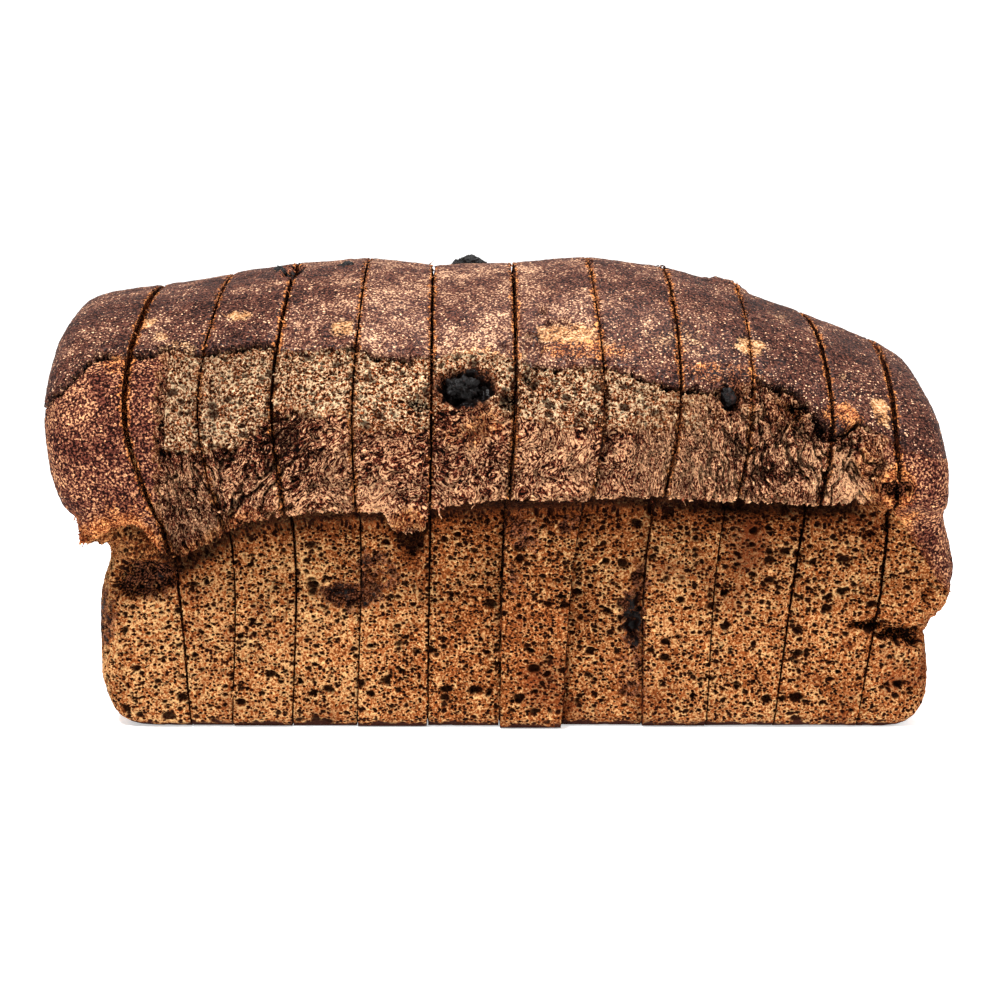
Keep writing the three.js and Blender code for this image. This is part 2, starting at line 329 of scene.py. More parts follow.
# %% Pale patches: centre, half sizes, strength
PALE_PATCHES = [
    ((-65.3, -41, 101.9), (3.6, 6, 1.3), 1.0),
    ((-88.0, -38, 100.3), (2.4, 6, 1.8), 0.9),
    ((-83.5, -45, 96.8), (2.4, 6, 1.6), 0.7),
    ((-39.0, -46, 99.0), (3.4, 6, 2.4), 0.9),
    ((59.6, -44, 94.5), (4.0, 6, 2.2), 1.0),
    ((89.6, -55, 80.0), (2.6, 6, 4.6), 1.0),
    ((86.0, -57, 84.5), (2.0, 6, 2.0), 0.5),
    ((-101.0, -50, 84.5), (4.0, 6, 2.6), 0.8),
    ((-96.0, -52, 89.0), (2.4, 6, 1.8), 0.6),
    ((15.0, -50, 98.0), (9.0, 6, 3.4), 0.95),
    ((-6.0, -54, 93.0), (9.5, 6, 2.6), 1.0),
    ((23.5, -52, 97.0), (6.0, 6, 3.0), 0.7),
    ((-79.0, -50, 93.5), (5.5, 6, 4.0), 0.6),
    ((82.5, -48, 87.5), (2.0, 6, 1.6), 0.5),
    ((41.0, -46, 96.0), (9.0, 8, 5.0), 0.45),
    ((-88.0, -56, 62.0), (5.0, 8, 8.0), 0.4),
    ((70.0, -30, 102.0), (4.0, 14, 3.0), 0.4),
    ((28.0, 44, 98.0), (8.0, 8, 3.4), 0.9),
    ((-48.0, 40, 101.0), (7.0, 8, 3.0), 0.8),
    ((-20.0, 10, 117.0), (6.0, 5, 4.0), 0.6),
]
print(len(PALE_PATCHES), "pale patches")

# %% [markdown]
# A large bubble that was cut open shows as a thin dark oval.

# %% Bubbles: centre, half sizes, strength of the rim
BUBBLES = [
    ((6.4, -54, 95.3), (2.5, 7, 4.3), 1.0),
    ((-0.4, -54, 95.4), (1.8, 6, 2.3), 0.8),
    ((5.6, -60, 87.2), (1.9, 6, 1.9), 0.7),
    ((-55.6, -45, 32), (2.5, 6, 4.7), 0.7),
    ((-62, -45, 17), (1.9, 6, 1.9), 0.6),
    ((-24.5, -45, 25), (2.6, 6, 2.0), 0.6),
    ((-13.5, -45, 27), (2.1, 6, 1.6), 0.6),
    ((8.6, -47, 20), (2.2, 6, 1.6), 0.7),
    ((-62, -45, 22), (1.5, 6, 2.0), 0.5),
    ((-8.0, -59, 77.5), (2.0, 6, 3.6), 0.6),
    ((30.0, 45, 30), (2.4, 6, 3.0), 0.6),
    ((-30.0, 45, 22), (2.6, 6, 2.0), 0.6),
]
print(len(BUBBLES), "bubbles")

# %% [markdown]
# The dough also bulges in places: at the neck of the left end, where the roll was pushed out, and at the
# ragged flap of the lip.

# %% Bumps: centre, half sizes, height
BUMPS = [
    ((-98.5, 0, 51.5), (5.0, 60, 4.6), 5.0),
    ((-64.0, -60, 62.0), (9.0, 6, 5.0), 1.0),
    ((20.0, -60, 66.0), (14.0, 6, 6.0), 0.9),
    ((72.0, -60, 66.0), (6.0, 6, 7.0), 1.2),
    ((-35.0, -60, 66.0), (8.0, 6, 7.0), 0.9),
    ((-6.0, -60, 66.0), (9.0, 6, 6.0), 1.0),
    ((58.0, -6, 110.5), (5.0, 10, 4.0), 1.3),
    ((-6.0, -52, 97.0), (10.0, 5, 3.5), 0.7),
    ((96.0, -48, 32.0), (8.0, 5, 5.5), 1.4),
    ((-88.0, -50, 47.0), (8.0, 8, 4.0), 1.2),
    ((-22.0, -60, 52.5), (5.5, 8, 5.0), 1.4),
    ((105.0, -40, 33.0), (5.0, 14, 4.5), 1.2),
    ((-70.0, -60, 50.0), (9.0, 7, 4.5), 0.9),
    ((92.0, -56, 66.0), (4.0, 6, 4.5), 0.9),
]
print(len(BUMPS), "bumps")

# %% [markdown]
# Where a flake of dough lifted off, the crumb under it is torn and more orange than the rest.

# %% Shreds: centre, half sizes, strength
SHREDS = [
    ((-99.5, -46, 47.5), (8.0, 16, 6.0), 1.0),
    ((-88.5, -50, 45.0), (6.0, 12, 4.0), 0.9),
    ((-90.0, -55, 57.0), (7.0, 10, 4.0), 0.5),
    ((91.5, -58, 60.5), (6.0, 9, 6.5), 0.9),
    ((86.0, -58, 68.0), (4.0, 8, 6.0), 0.6),
    ((96.5, -52, 52.0), (4.5, 8, 4.0), 0.6),
    ((-22.5, -58, 53.0), (5.5, 9, 4.5), 0.8),
    ((2.0, -58, 66.0), (3.0, 8, 8.0), 0.4),
    ((-9.0, -60, 76.0), (9.0, 8, 6.0), 0.5),
    ((66.0, -59, 79.0), (6.0, 8, 5.0), 0.6),
    ((80.0, -58, 78.0), (5.0, 8, 4.0), 0.7),
    ((20.0, -54, 94.0), (14.0, 8, 3.0), 0.6),
    ((-92.0, -50, 90.0), (5.0, 8, 3.0), 0.5),
    ((-101.5, -48, 84.0), (4.0, 8, 3.0), 0.5),
    ((50.0, -52, 88.0), (12.0, 8, 3.0), 0.5),
]
print(len(SHREDS), "shreds")

# %% [markdown]
# Two functions turn the marks into a number for every point. A plain ellipsoid would have a smooth edge,
# and nothing in bread has one, so the edge of a mark is ruffled by a few sine waves.

# %% Marks on every point
RIM_WIDTH = 0.45  # half the width of a bubble's rim, in mm
MARK_END, MARK_FADE = 1.3, 0.6  # where a mark has gone, and over how much it fades, in half sizes


def bubble_rims(where):
    """Thin ovals round the bubbles: 1 on the rim and 0 inside and outside."""
    total = np.zeros(len(where))
    for centre, half, strength in BUBBLES:
        far = np.linalg.norm((where - np.array(centre)) / np.array(half), axis=1)
        total = np.maximum(total, strength * np.clip(1 - np.abs(far - 1) / (RIM_WIDTH / min(half)), 0, 1))
    return total


def marks(where, things):
    """Some ellipsoid marks at every point: full inside, and gone a little way outside an uneven edge."""
    total = np.zeros(len(where))
    x, z = where[:, 0], where[:, 2]
    ruffle = np.sin(x * 1.9 + 2 * np.sin(z * 1.1)) * 0.12 + np.sin(z * 2.3 + 2 * np.sin(x * 0.9) + 1) * 0.12
    for centre, half, strength in things:
        far = np.linalg.norm((where - np.array(centre)) / np.array(half), axis=1)
        uneven = far + ruffle * np.clip(2.0 / min(half), 0.3, 1.2)
        total = np.maximum(total, strength * np.clip((MARK_END - uneven) / MARK_FADE, 0, 1))
    return total


print("the first pit digs", marks(np.array([PITS[0][0]]), PITS)[0], "mm deep at its centre")

# %% [markdown]
# ## A fine skin over each CAD slice
#
# A pore is half a millimetre wide, so the plain CAD slice has far too few points to show one. A remesh
# would put points everywhere, even on the cut faces that nobody sees. It is better to lay a grid that is
# fine where the bread shows and coarse where it doesn't.
#
# A middle slice is a strip between two rings. The rings' corners are read from the CAD mesh itself, sorted
# round the slice's heart, so the fine slice can't drift away from the frame. Then both rings are divided
# again: finely down the front, less finely down the back, and coarsely underneath.

# %% Reading the rings of a CAD slice
HEART = 60.0  # height of the middle of a slice, in mm
FRONT_STEP, BACK_STEP, UNDER_STEP = 0.36, 0.56, 1.1
ACROSS_STEP = 0.37
CREST_MARGIN = 8.0  # the rays stop this far under the crest, where a cut is too curved to hit, in mm


def corners_of(name):
    """The corners of a CAD piece's triangles, in mm."""
    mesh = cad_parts[name].data
    points = np.empty(len(mesh.vertices) * 3)
    mesh.vertices.foreach_get("co", points)
    return points.reshape(-1, 3) / MM


def tree_of(name):
    """A CAD piece as a tree that rays can be cast at, in mm."""
    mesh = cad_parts[name].data
    return BVHTree.FromPolygons(
        [v.co / MM for v in mesh.vertices], [tuple(p.vertices) for p in mesh.polygons]
    )


def cut_face(tree, side, crest):
    """The cut face on one side of a slice, as x at a place (y, z), read by rays along the loaf."""
    def hit(y, z):
        found = tree.ray_cast(Vector((side * 300, y, z)), Vector((-side, 0, 0)))[0]
        return np.nan if found is None else found.x
    heights = np.append(np.arange(0.3, crest - CREST_MARGIN, 0.5), crest + 2.0)
    xs = np.array([hit(0.01, z) for z in heights[:-1]] + [0.0])
    xs[-1] = xs[-2] + (xs[-2] - xs[-10]) / (heights[-2] - heights[-10]) * (heights[-1] - heights[-2])
    slew = (hit(30, HEART) - hit(-30, HEART)) / 60
    return lambda y, z: np.interp(z, heights, xs) + slew * y


print("points", FRONT_STEP, "mm apart in front and", BACK_STEP, "mm at the back")

# %% [markdown]
# A ring is the edge of one cut face. Its corners lie on the face, and sorting them by their turn round the
# heart puts them in order.

# %% Rings
def ring_on(name, face):
    """The corners of a CAD slice that lie on one cut face, in order from the crest down the front."""
    points = np.unique(np.round(corners_of(name), 3), axis=0)
    on_face = np.abs(points[:, 0] - face(points[:, 1], points[:, 2])) < 0.6
    points = points[on_face]
    turn = np.arctan2(-points[:, 1], points[:, 2] - HEART) % (2 * np.pi)
    crest = np.argmax(points[:, 2] - np.abs(points[:, 1]) * 0.02)
    order = np.argsort((turn - turn[crest] + 1e-6) % (2 * np.pi))
    return points[order]


def along_ring(ring, steps):
    """A ring divided again, at places given as a fraction of its corners."""
    closed = np.vstack([ring, ring[:1]])
    at = np.arange(len(closed))
    return np.stack([np.interp(steps, at, closed[:, a]) for a in range(3)], axis=1)


def fine_steps(ring):
    """Where a ring is divided, so that the points are close in front and wide underneath."""
    closed = np.vstack([ring, ring[:1]])
    lengths = np.linalg.norm(np.diff(closed, axis=0), axis=1)
    middles = (closed[1:] + closed[:-1]) / 2
    step = np.where(middles[:, 1] < 2, FRONT_STEP, BACK_STEP)
    step = np.where(middles[:, 2] < 1.0, UNDER_STEP, step)
    count = np.concatenate([[0], np.cumsum(lengths / step)])
    total = int(count[-1] // 8 * 8)
    return np.interp(np.linspace(0, count[-1], total, endpoint=False), count, np.arange(len(count)))


middle_slice = BREAD[len(BREAD) // 2]
middle_face = cut_face(tree_of(middle_slice), -1, corners_of(middle_slice)[:, 2].max())
print(middle_slice, "has", len(fine_steps(ring_on(middle_slice, middle_face))), "points round it")

# %% [markdown]
# The ends are rounded, so they have no second ring. They are read by rays that fan out from the heart of
# the last cut: a ray in the plane of the cut meets the edge, and a ray along the loaf meets the tip.

# %% Reading a rounded end
END_RAYS = 150


def end_rows(name, face, ring, side):
    """Rows of points from the cut edge of an end slice to its tip, evenly spaced."""
    tree = tree_of(name)
    heart = np.array([side * (np.max(ring[:, 0] * side) + 1.2), 0.0, HEART])
    tip = tree.ray_cast(Vector(heart), Vector((side, 0, 0)))[0]
    reach = np.array([tip.x - heart[0], 0, 0])
    turns = np.linspace(0.03, np.pi / 2 - 0.02, END_RAYS)
    rows = [ring]
    for turn in turns:
        aims = np.cos(turn) * (ring - heart) + np.sin(turn) * reach
        row = [tree.ray_cast(Vector(heart), Vector(a).normalized())[0] for a in aims]
        rows.append(np.array([r if r is not None else h for r, h in zip(row, rows[-1])]))
    rows.append(np.repeat([tip], len(ring), axis=0))
    rows = np.array(rows)
    lengths = np.linalg.norm(np.diff(rows, axis=0), axis=2)
    count = np.vstack([np.zeros(len(ring)), np.cumsum(lengths, axis=0)])
    total = int(count[-1].mean() / (ACROSS_STEP * 1.4))
    share = np.linspace(0, 1, total)
    out = np.empty((total, len(ring), 3))
    for k in range(len(ring)):
        at = share * count[-1, k]
        for a in range(3):
            out[:, k, a] = np.interp(at, count[:, k], rows[:, k, a])
    return out


print("an end is read by", END_RAYS, "rays from its cut to its tip")

# %% [markdown]
# The grid of a slice then has rows round the outside and, on each cut face, rings that close in on the
# heart. A ring near the heart needs fewer points than one at the crust, so every fourth point goes on
# inwards. Each point also remembers things that the relief and the finish will ask for: where it was
# before it was moved, which way is outwards, and how far it is from the knife's edge.

# %% Grid
NOT_NEAR = 99.0  # stands for a distance from the cut that is too far to matter, in mm


class Grid:
    """Points, faces and what each point remembers, collected ring by ring."""

    def __init__(self):
        self.points, self.rims, self.outs, self.faces = [], [], [], []
        self.follow, self.edge, self.cut, self.bulge = [], [], [], []
        self.count = 0

    def ring(self, points, rims, outs, follow, edge, cut, bulge=0.0):
        """Adds a ring of points with their memories, and returns their numbers."""
        start = self.count
        n = len(points)
        self.points.append(points)
        self.rims.append(rims)
        self.outs.append(outs)
        for store, value in (
            (self.follow, follow), (self.edge, edge), (self.cut, cut), (self.bulge, bulge)
        ):
            store.append(np.broadcast_to(np.asarray(value, float), n))
        self.count += n
        return np.arange(start, start + n)

    def join(self, a, b, flip=False):
        """Quads between two rings of one length, or a stitch to a ring with a quarter of the points."""
        if len(a) == len(b):
            quads = np.stack([a, np.roll(a, -1), np.roll(b, -1), b], axis=1).tolist()
        else:
            quads = []
            every = len(a) // len(b)
            for j in range(len(b)):
                outer = [a[(j * every + i) % len(a)] for i in range(every + 1)]
                inner, after = b[j], b[(j + 1) % len(b)]
                half = every // 2
                quads += [[outer[i], outer[i + 1], inner] for i in range(half)]
                quads.append([outer[half], after, inner])
                quads += [[outer[i], outer[i + 1], after] for i in range(half, every)]
        self.faces += [q[::-1] for q in quads] if flip else quads

    def close(self, ring, centre, like, flip=False):
        """Closes a ring with a fan to one point, which takes its rim, outward and bulge from like."""
        tip = self.ring(centre[None], like[0][None], like[1][None], 0.0, NOT_NEAR, 1.0, like[2])[0]
        fan = [[int(a), int(b), int(tip)] for a, b in zip(ring, np.roll(ring, -1))]
        self.faces += [f[::-1] for f in fan] if flip else fan


print("a grid keeps", ", ".join(sorted(vars(Grid()))))

# %% [markdown]
# A cut face is nearly hidden, so it is fine only near its edge. The face bulges a little towards its
# neighbour away from the edge, so that nobody sees through a cut.

# %% Cut faces
FACE_DEPTHS = [0.35, 0.8, 1.4, 2.3, 3.6, 5.5]  # fine rings of a cut face, in mm in from the edge
COARSE_RINGS = 15
FOLLOW_DEPTH = 3.0  # how far in a cut face still follows the relief of its edge, in mm


def outward(rows):
    """Which way is outwards at every point of the outside, from the grid's own directions."""
    around = np.roll(rows, -1, axis=1) - np.roll(rows, 1, axis=1)
    across = np.gradient(rows, axis=0)
    outs = np.cross(around, across)
    outs /= np.linalg.norm(outs, axis=2, keepdims=True) + 1e-9
    heart = rows.mean(axis=(0, 1))
    if ((rows - heart) * outs).sum() < 0:
        outs = -outs
    return outs


def cover_cut(grid, edge_ring, edge_points, edge_outs, face, side, flip):
    """Closes a cut face with rings that shrink from the edge to the heart."""
    heart = np.array([face(0.0, HEART), 0.0, HEART])
    reach = np.linalg.norm(edge_points - heart, axis=1, keepdims=True)
    ring = edge_ring
    for depth in FACE_DEPTHS:
        share = np.clip(depth / reach, 0, 0.6)
        points = edge_points + (heart - edge_points) * share
        points[:, 0] = face(points[:, 1], points[:, 2])
        bulge = side * np.clip((depth - 0.5) / 2.0, 0, 1)
        inner = grid.ring(points, edge_points, edge_outs, np.exp(-depth / FOLLOW_DEPTH), depth, 1.0, bulge)
        grid.join(ring, inner, flip)
        ring = inner
    few = edge_points[::4]
    start = np.clip(FACE_DEPTHS[-1] / reach[::4], 0, 0.6)
    for share in np.linspace(0.05, 0.94, COARSE_RINGS):
        at = start + (1 - start) * share
        points = few + (heart - few) * at
        points[:, 0] = face(points[:, 1], points[:, 2])
        follow = np.exp(-at * reach[::4] / FOLLOW_DEPTH)[:, 0]
        inner = grid.ring(points, few, edge_outs[::4], follow, NOT_NEAR, 1.0, side)
        grid.join(ring, inner, flip)
        ring = inner
    grid.close(ring, heart, (few[0], edge_outs[0], side), flip)


print("a cut face has", len(FACE_DEPTHS) + COARSE_RINGS, "rings")

# %% [markdown]
# Now a whole slice: rows of points across the outside from cut to cut, or from the cut to the tip of an
# end, and then its cut faces. The rows near the tip of an end crowd together, so they take fewer points.

# %% Fine slice
THIN_FROM = 0.62  # rows smaller than this share of the first row take every fourth point


def fine_slice(name):
    """The fine grid of one slice."""
    tree = tree_of(name)
    grid = Grid()
    if name == "heel_left":
        sides = (1,)
    elif name == "heel_right":
        sides = (-1,)
    else:
        sides = (-1, 1)
    faces = {side: cut_face(tree, side, corners_of(name)[:, 2].max()) for side in sides}
    rings = {side: ring_on(name, faces[side]) for side in sides}
    print(name, "has cut edges of", [len(r) for r in rings.values()], "corners")
    steps = fine_steps(rings[sides[0]])
    if len(sides) == 2:
        shifts = [np.roll(rings[1], k, axis=0) for k in range(-6, 7)]
        rings[1] = min(shifts, key=lambda r: np.abs(r[:, 1:] - rings[-1][:, 1:]).sum())
        left, right = (along_ring(rings[s], steps) for s in (-1, 1))
        width = np.linalg.norm(right - left, axis=1).mean()
        share = np.linspace(0, 1, int(width / ACROSS_STEP) + 1)[:, None, None]
        rows = left[None] * (1 - share) + right[None] * share
        edge = np.minimum(share, 1 - share)[:, :, 0] * width
    else:
        side = sides[0]
        rows = end_rows(name, faces[side], along_ring(rings[side], steps), -side)
        lengths = np.linalg.norm(np.diff(rows, axis=0), axis=2).mean(axis=1)
        edge = np.concatenate([[0], np.cumsum(lengths)])[:, None]
    outs = outward(rows)
    used = rows if len(sides) == 2 else rows[:-1]
    few_from = len(used)
    if len(sides) == 1:
        size = np.linalg.norm(used[:, :, 1:] - [0, HEART], axis=2).mean(axis=1)
        few_from = int(np.argmax(size < size[0] * THIN_FROM))
    first = previous = None
    for r, row in enumerate(used):
        thin = 4 if r >= few_from else 1
        if thin == 4 and r > few_from and r % 2:
            continue
        ring = grid.ring(row[::thin], row[::thin], outs[r][::thin], 1.0, edge[r, 0], 0.0)
        if previous is not None:
            grid.join(previous, ring)
        first = ring if first is None else first
        previous = ring
    if len(sides) == 2:
        cover_cut(grid, first, used[0], outs[0], faces[-1], -1, flip=True)
        cover_cut(grid, previous, used[-1], outs[-1], faces[1], 1, flip=False)
    else:
        tip = rows[-1][0]
        grid.close(previous, tip, (tip, np.array([-sides[0], 0, 0]), 0), flip=False)
        grid.cut[-1] = np.zeros(1)
        grid.follow[-1] = np.ones(1)
        cover_cut(grid, first, used[0], outs[0], faces[sides[0]], sides[0], flip=True)
    return grid


# %% [markdown]
# The lines and marks become numbers on every point. Heights above a line are kept as plain distances in
# millimetres, not as finished masks, so that the relief can ruffle them with noise before it decides
# where one surface ends and the next begins.

# %% Writing what each point remembers
def mixed(rims, front_line, back_line):
    """A front line in front and a back line behind, blended over 16 mm at the crest."""
    share = np.clip(0.5 - rims[:, 1] / 16.0, 0, 1)
    return front_line(rims[:, 0]) * share + back_line(rims[:, 0]) * (1 - share)


def slice_object(name, grid):
    """The fine grid of a slice as an object, with what its points remember as attributes."""
    points, rims, outs = (np.vstack(v) for v in (grid.points, grid.rims, grid.outs))
    mesh = bpy.data.meshes.new(name + "_bread")
    mesh.from_pydata((points * MM).tolist(), [], grid.faces)
    mesh.shade_smooth()
    facts = {
        "above_crack": rims[:, 2] - mixed(rims, CRACK_FRONT, CRACK_BACK),
        "crack_open": mixed(rims, CRACK_OPEN_FRONT, CRACK_OPEN_BACK),
        "above_roll": rims[:, 2] - mixed(rims, ROLL_FRONT, ROLL_BACK),
        "break_strength": mixed(rims, BREAK_STRENGTH_FRONT, BREAK_STRENGTH_BACK),
        "above_lip": rims[:, 2] - mixed(rims, LIP_FRONT, LIP_BACK),
        "lip_open": LIP_OPEN(rims[:, 0]),
        "skin": SKIN(rims[:, 0]),
        "slant": SLANT(rims[:, 0]),
        "folds": FOLDS(rims[:, 0]),
        "neck": NECK(rims[:, 0]),
        "tone_top": TONE_TOP(rims[:, 0]),
        "tone_foot": TONE_FOOT(rims[:, 0]),
        "tone_roll": TONE_ROLL(rims[:, 0]),
        "shred": marks(rims, SHREDS),
        "pit": marks(rims, PITS),
        "bump": marks(rims, BUMPS),
        "bubble": bubble_rims(rims),
        "smear": marks(rims, SMEARS),
        "pale": marks(rims, PALE_PATCHES),
        "follow": np.concatenate(grid.follow),
        "from_cut": np.concatenate(grid.edge),
        "cut": np.concatenate(grid.cut),
        "bulge": np.concatenate(grid.bulge),
    }
    for key, values in facts.items():
        memory = mesh.attributes.new(key, "FLOAT", "POINT")
        memory.data.foreach_set("value", values.astype(np.float32))
    for key, values in (("dough", points), ("rim", rims), ("outward", outs)):
        memory = mesh.attributes.new(key, "FLOAT_VECTOR", "POINT")
        memory.data.foreach_set("vector", values.astype(np.float32).ravel())
    made = bpy.data.objects.new(name + "_bread", mesh)
    bpy.context.scene.collection.objects.link(made)
    return made


crest = np.array([[0.0, 0.0, 110.0]])
print("over the crest the crack line blends to", mixed(crest, CRACK_FRONT, CRACK_BACK)[0], "mm")

# %% [markdown]
# ## Small helpers for node trees
#
# The relief is a Geometry Nodes tree and the finish is a shader, and both need the same pores. Blender's
# noise, Voronoi and maths nodes are the same in both kinds of tree, so these helpers work in either one.

# %% Node helpers
FLOAT, VECTOR, INTEGER = "NodeSocketFloat", "NodeSocketVector", "NodeSocketInt"
GEOMETRY, MATERIAL = "NodeSocketGeometry", "NodeSocketMaterial"
BOTH_KINDS = ("GeometryNodeTree", "ShaderNodeTree")


def node(tree, kind, inputs=None, **settings):
    """A node with some inputs linked or set, and its other settings by name."""
    made = tree.nodes.new(kind)
    for key, value in settings.items():
        setattr(made, key, value)
    for key, value in (inputs or {}).items():
        if isinstance(value, bpy.types.NodeSocket):
            tree.links.new(value, made.inputs[key])
        elif value is not None:
            made.inputs[key].default_value = value
    return made


def calc(tree, operation, *values, clamp=False):
    """Maths on numbers."""
    inputs = dict(enumerate(values))
    return node(tree, "ShaderNodeMath", inputs, operation=operation, use_clamp=clamp).outputs[0]


def calc_vector(tree, operation, vector, other):
    """Maths on a vector and another one, or on a vector and a number for SCALE."""
    inputs = {0: vector, "Scale" if operation == "SCALE" else 1: other}
    return node(tree, "ShaderNodeVectorMath", inputs, operation=operation).outputs[0]


def parts_of(tree, vector):
    """The three numbers of a vector."""
    return node(tree, "ShaderNodeSeparateXYZ", {0: vector}).outputs


def rise(tree, value, low, high, bottom=0.0, top=1.0):
    """Goes smoothly from bottom to top as value goes from low to high."""
    inputs = {"Value": value, "From Min": low, "From Max": high, "To Min": bottom, "To Max": top}
    return node(tree, "ShaderNodeMapRange", inputs, interpolation_type="SMOOTHSTEP").outputs["Result"]


def stretch(tree, vector, scale):
    """A vector made longer or shorter along each axis."""
    return calc_vector(tree, "MULTIPLY", vector, scale)


def noise(tree, vector, scale, detail=2.0, rough=0.5, colour=False):
    """Soft noise from 0 to 1, or a colour made of three such noises."""
    inputs = {"Vector": vector, "Scale": scale, "Detail": detail, "Roughness": rough}
    return node(tree, "ShaderNodeTexNoise", inputs).outputs["Color" if colour else 0]


def warp(tree, vector, scale, amount, detail=1.0):
    """Moves a vector about by a soft noise, so that patterns on it lose their straight lines."""
    shake = noise(tree, vector, scale, detail, colour=True)
    centred = calc_vector(tree, "SUBTRACT", shake, (0.5, 0.5, 0.5))
    return calc_vector(tree, "ADD", vector, calc_vector(tree, "SCALE", centred, amount))


def new_group(kind, name, inputs, outputs):
    """A node group with named sockets. Each input and output is (name, socket type, value)."""
    group = bpy.data.node_groups.new(name, kind)
    for label, socket, *value in inputs:
        made = group.interface.new_socket(name=label, in_out="INPUT", socket_type=socket)
        if value:
            made.default_value = value[0]
    for label, socket in outputs:
        group.interface.new_socket(name=label, in_out="OUTPUT", socket_type=socket)
    return group, group.nodes.new("NodeGroupInput").outputs, group.nodes.new("NodeGroupOutput")


def use_group(tree, group, inputs):
    """Places a group in a tree and returns its outputs."""
    kind = "GeometryNodeGroup" if tree.bl_idname == "GeometryNodeTree" else "ShaderNodeGroup"
    return node(tree, kind, inputs, node_tree=group).outputs


print("helpers for both kinds of tree:", " and ".join(BOTH_KINDS))

# %% [markdown]
# ## Pores
#
# Crumb is foam: gas cells of every size with thin walls between them. Cutting or tearing it leaves round
# hollows. A Voronoi texture gives cells a centre each, and a ball of its own size round every centre makes
# the hollows. The ball's size comes from the cell's random colour, raised to a power, so small pores are
# common and large ones are rare. Three sizes on top of each other look like bread.

# %% One size of pore
def pore_layer(tree, dough, size, fill, power):
    """Hollows of one size: 1 in the middle of a pore and 0 on the walls between."""
    soft = warp(tree, dough, 0.9 / size, size * 0.6)
    flat = stretch(tree, soft, (0.86, 0.86, 1.16))
    cells = node(
        tree, "ShaderNodeTexVoronoi", {"Vector": flat, "Scale": 1.0 / size, "Randomness": 1.0}
    ).outputs
    chance = parts_of(tree, cells["Color"])[0]
    radius = calc(tree, "MAXIMUM", calc(tree, "MULTIPLY", calc(tree, "POWER", chance, power), fill), 0.02)
    return calc(tree, "SUBTRACT", 1.0, calc(tree, "DIVIDE", cells["Distance"], radius))


PORE_SIZES = (("Large", 3.1, 0.62, 3.4), ("Middle", 1.6, 0.62, 1.6), ("Fine", 0.85, 0.66, 0.6))
print("cells of pores", [size for _, size, *_ in PORE_SIZES], "mm wide")

# %% [markdown]
# The group gives a mask for each size of pore, and one for the rims that ring them, which the finish paints
# pale as a highlight. It is built once for each kind of tree.

# %% Three sizes of pore
def pore_group(kind):
    """The group that gives pores of three sizes and the rims round them, for a painted highlight."""
    group, given, result = new_group(
        kind, "open crumb " + kind[:6].lower(),
        [("Dough", VECTOR), ("Openness", FLOAT, 1.0)],
        [("Large", FLOAT), ("Middle", FLOAT), ("Fine", FLOAT), ("Wall", FLOAT)],
    )
    walls = []
    for label, size, fill, power in PORE_SIZES:
        inside = pore_layer(
            group, given["Dough"], size, calc(group, "MULTIPLY", given["Openness"], fill), power
        )
        group.links.new(rise(group, inside, 0.0, 0.45), result.inputs[label])
        band = calc(group, "MULTIPLY", rise(group, inside, -0.45, -0.1), rise(group, inside, 0.12, -0.02))
        walls.append(band)
    wall = calc(
        group, "MAXIMUM", walls[0],
        calc(group, "MAXIMUM", walls[1], calc(group, "MULTIPLY", walls[2], 0.6))
    )
    group.links.new(wall, result.inputs["Wall"])
    return group


PORES = {kind: pore_group(kind) for kind in BOTH_KINDS}
print(", ".join(g.name for g in PORES.values()))

# %% [markdown]
# ## Which surface is where
#
# This group turns the remembered heights into masks. The borders are ruffled first: the crack is sharp and
# jagged, the lower edge of the break is ragged, and the lip is torn. The relief and the finish both use
# it, so the colours always sit on the right relief.

# %% Surface masks
REMEMBERED = ("Above Crack", "Above Roll", "Break Strength", "Above Lip", "Skin")
MASKS = ("Crack Height", "Lip Height", "Crust", "Skin", "Break", "Roll", "Foot")


def mask_group(kind):
    """The group that turns what the points remember into masks."""
    group, given, result = new_group(
        kind, "surfaces " + kind[:6].lower(),
        [("Dough", VECTOR)] + [(label, FLOAT) for label in REMEMBERED + ("Cut",)],
        [(label, FLOAT) for label in MASKS],
    )
    dough = given["Dough"]

    def ruffled(height, scale, amount, detail=3.0, rough=0.6):
        shake = calc(group, "SUBTRACT", noise(group, dough, scale, detail, rough), 0.5)
        return calc(group, "MULTIPLY_ADD", shake, amount, height)

    def times(*values):
        total = values[0]
        for value in values[1:]:
            total = calc(group, "MULTIPLY", total, value)
        return total

    crack = ruffled(given["Above Crack"], 0.3, 4.4, 4.0, 0.72)
    crust = rise(group, crack, -0.15, 0.15)
    below = calc(group, "SUBTRACT", 1.0, crust)
    above_roll = rise(group, ruffled(given["Above Roll"], 0.25, 9.0, 4.0, 0.7), -0.9, 0.9)
    patchy = calc(group, "ADD", noise(group, dough, 0.3, 4.0, 0.65), given["Break Strength"])
    torn = times(above_roll, rise(group, patchy, 0.95, 1.25), below)
    lip_height = ruffled(given["Above Lip"], 0.45, 2.6, 4.0, 0.7)
    lip = rise(group, lip_height, -0.25, 0.25)
    rest = calc(group, "SUBTRACT", below, torn)
    skin = rise(group, calc(group, "ADD", given["Skin"], noise(group, dough, 0.4, 3.0, 0.6)), 0.9, 1.1)
    outside = calc(group, "SUBTRACT", 1.0, given["Cut"])
    for label, value in (
        ("Crust", times(crust, lip)),
        ("Break", times(torn, lip)),
        ("Skin", times(rest, lip, skin)),
        ("Roll", times(rest, lip, calc(group, "SUBTRACT", 1.0, skin))),
        ("Foot", calc(group, "SUBTRACT", 1.0, lip)),
    ):
        group.links.new(calc(group, "MULTIPLY", value, outside, clamp=True), result.inputs[label])
    group.links.new(crack, result.inputs["Crack Height"])
    group.links.new(lip_height, result.inputs["Lip Height"])
    return group


SURFACES = {kind: mask_group(kind) for kind in BOTH_KINDS}


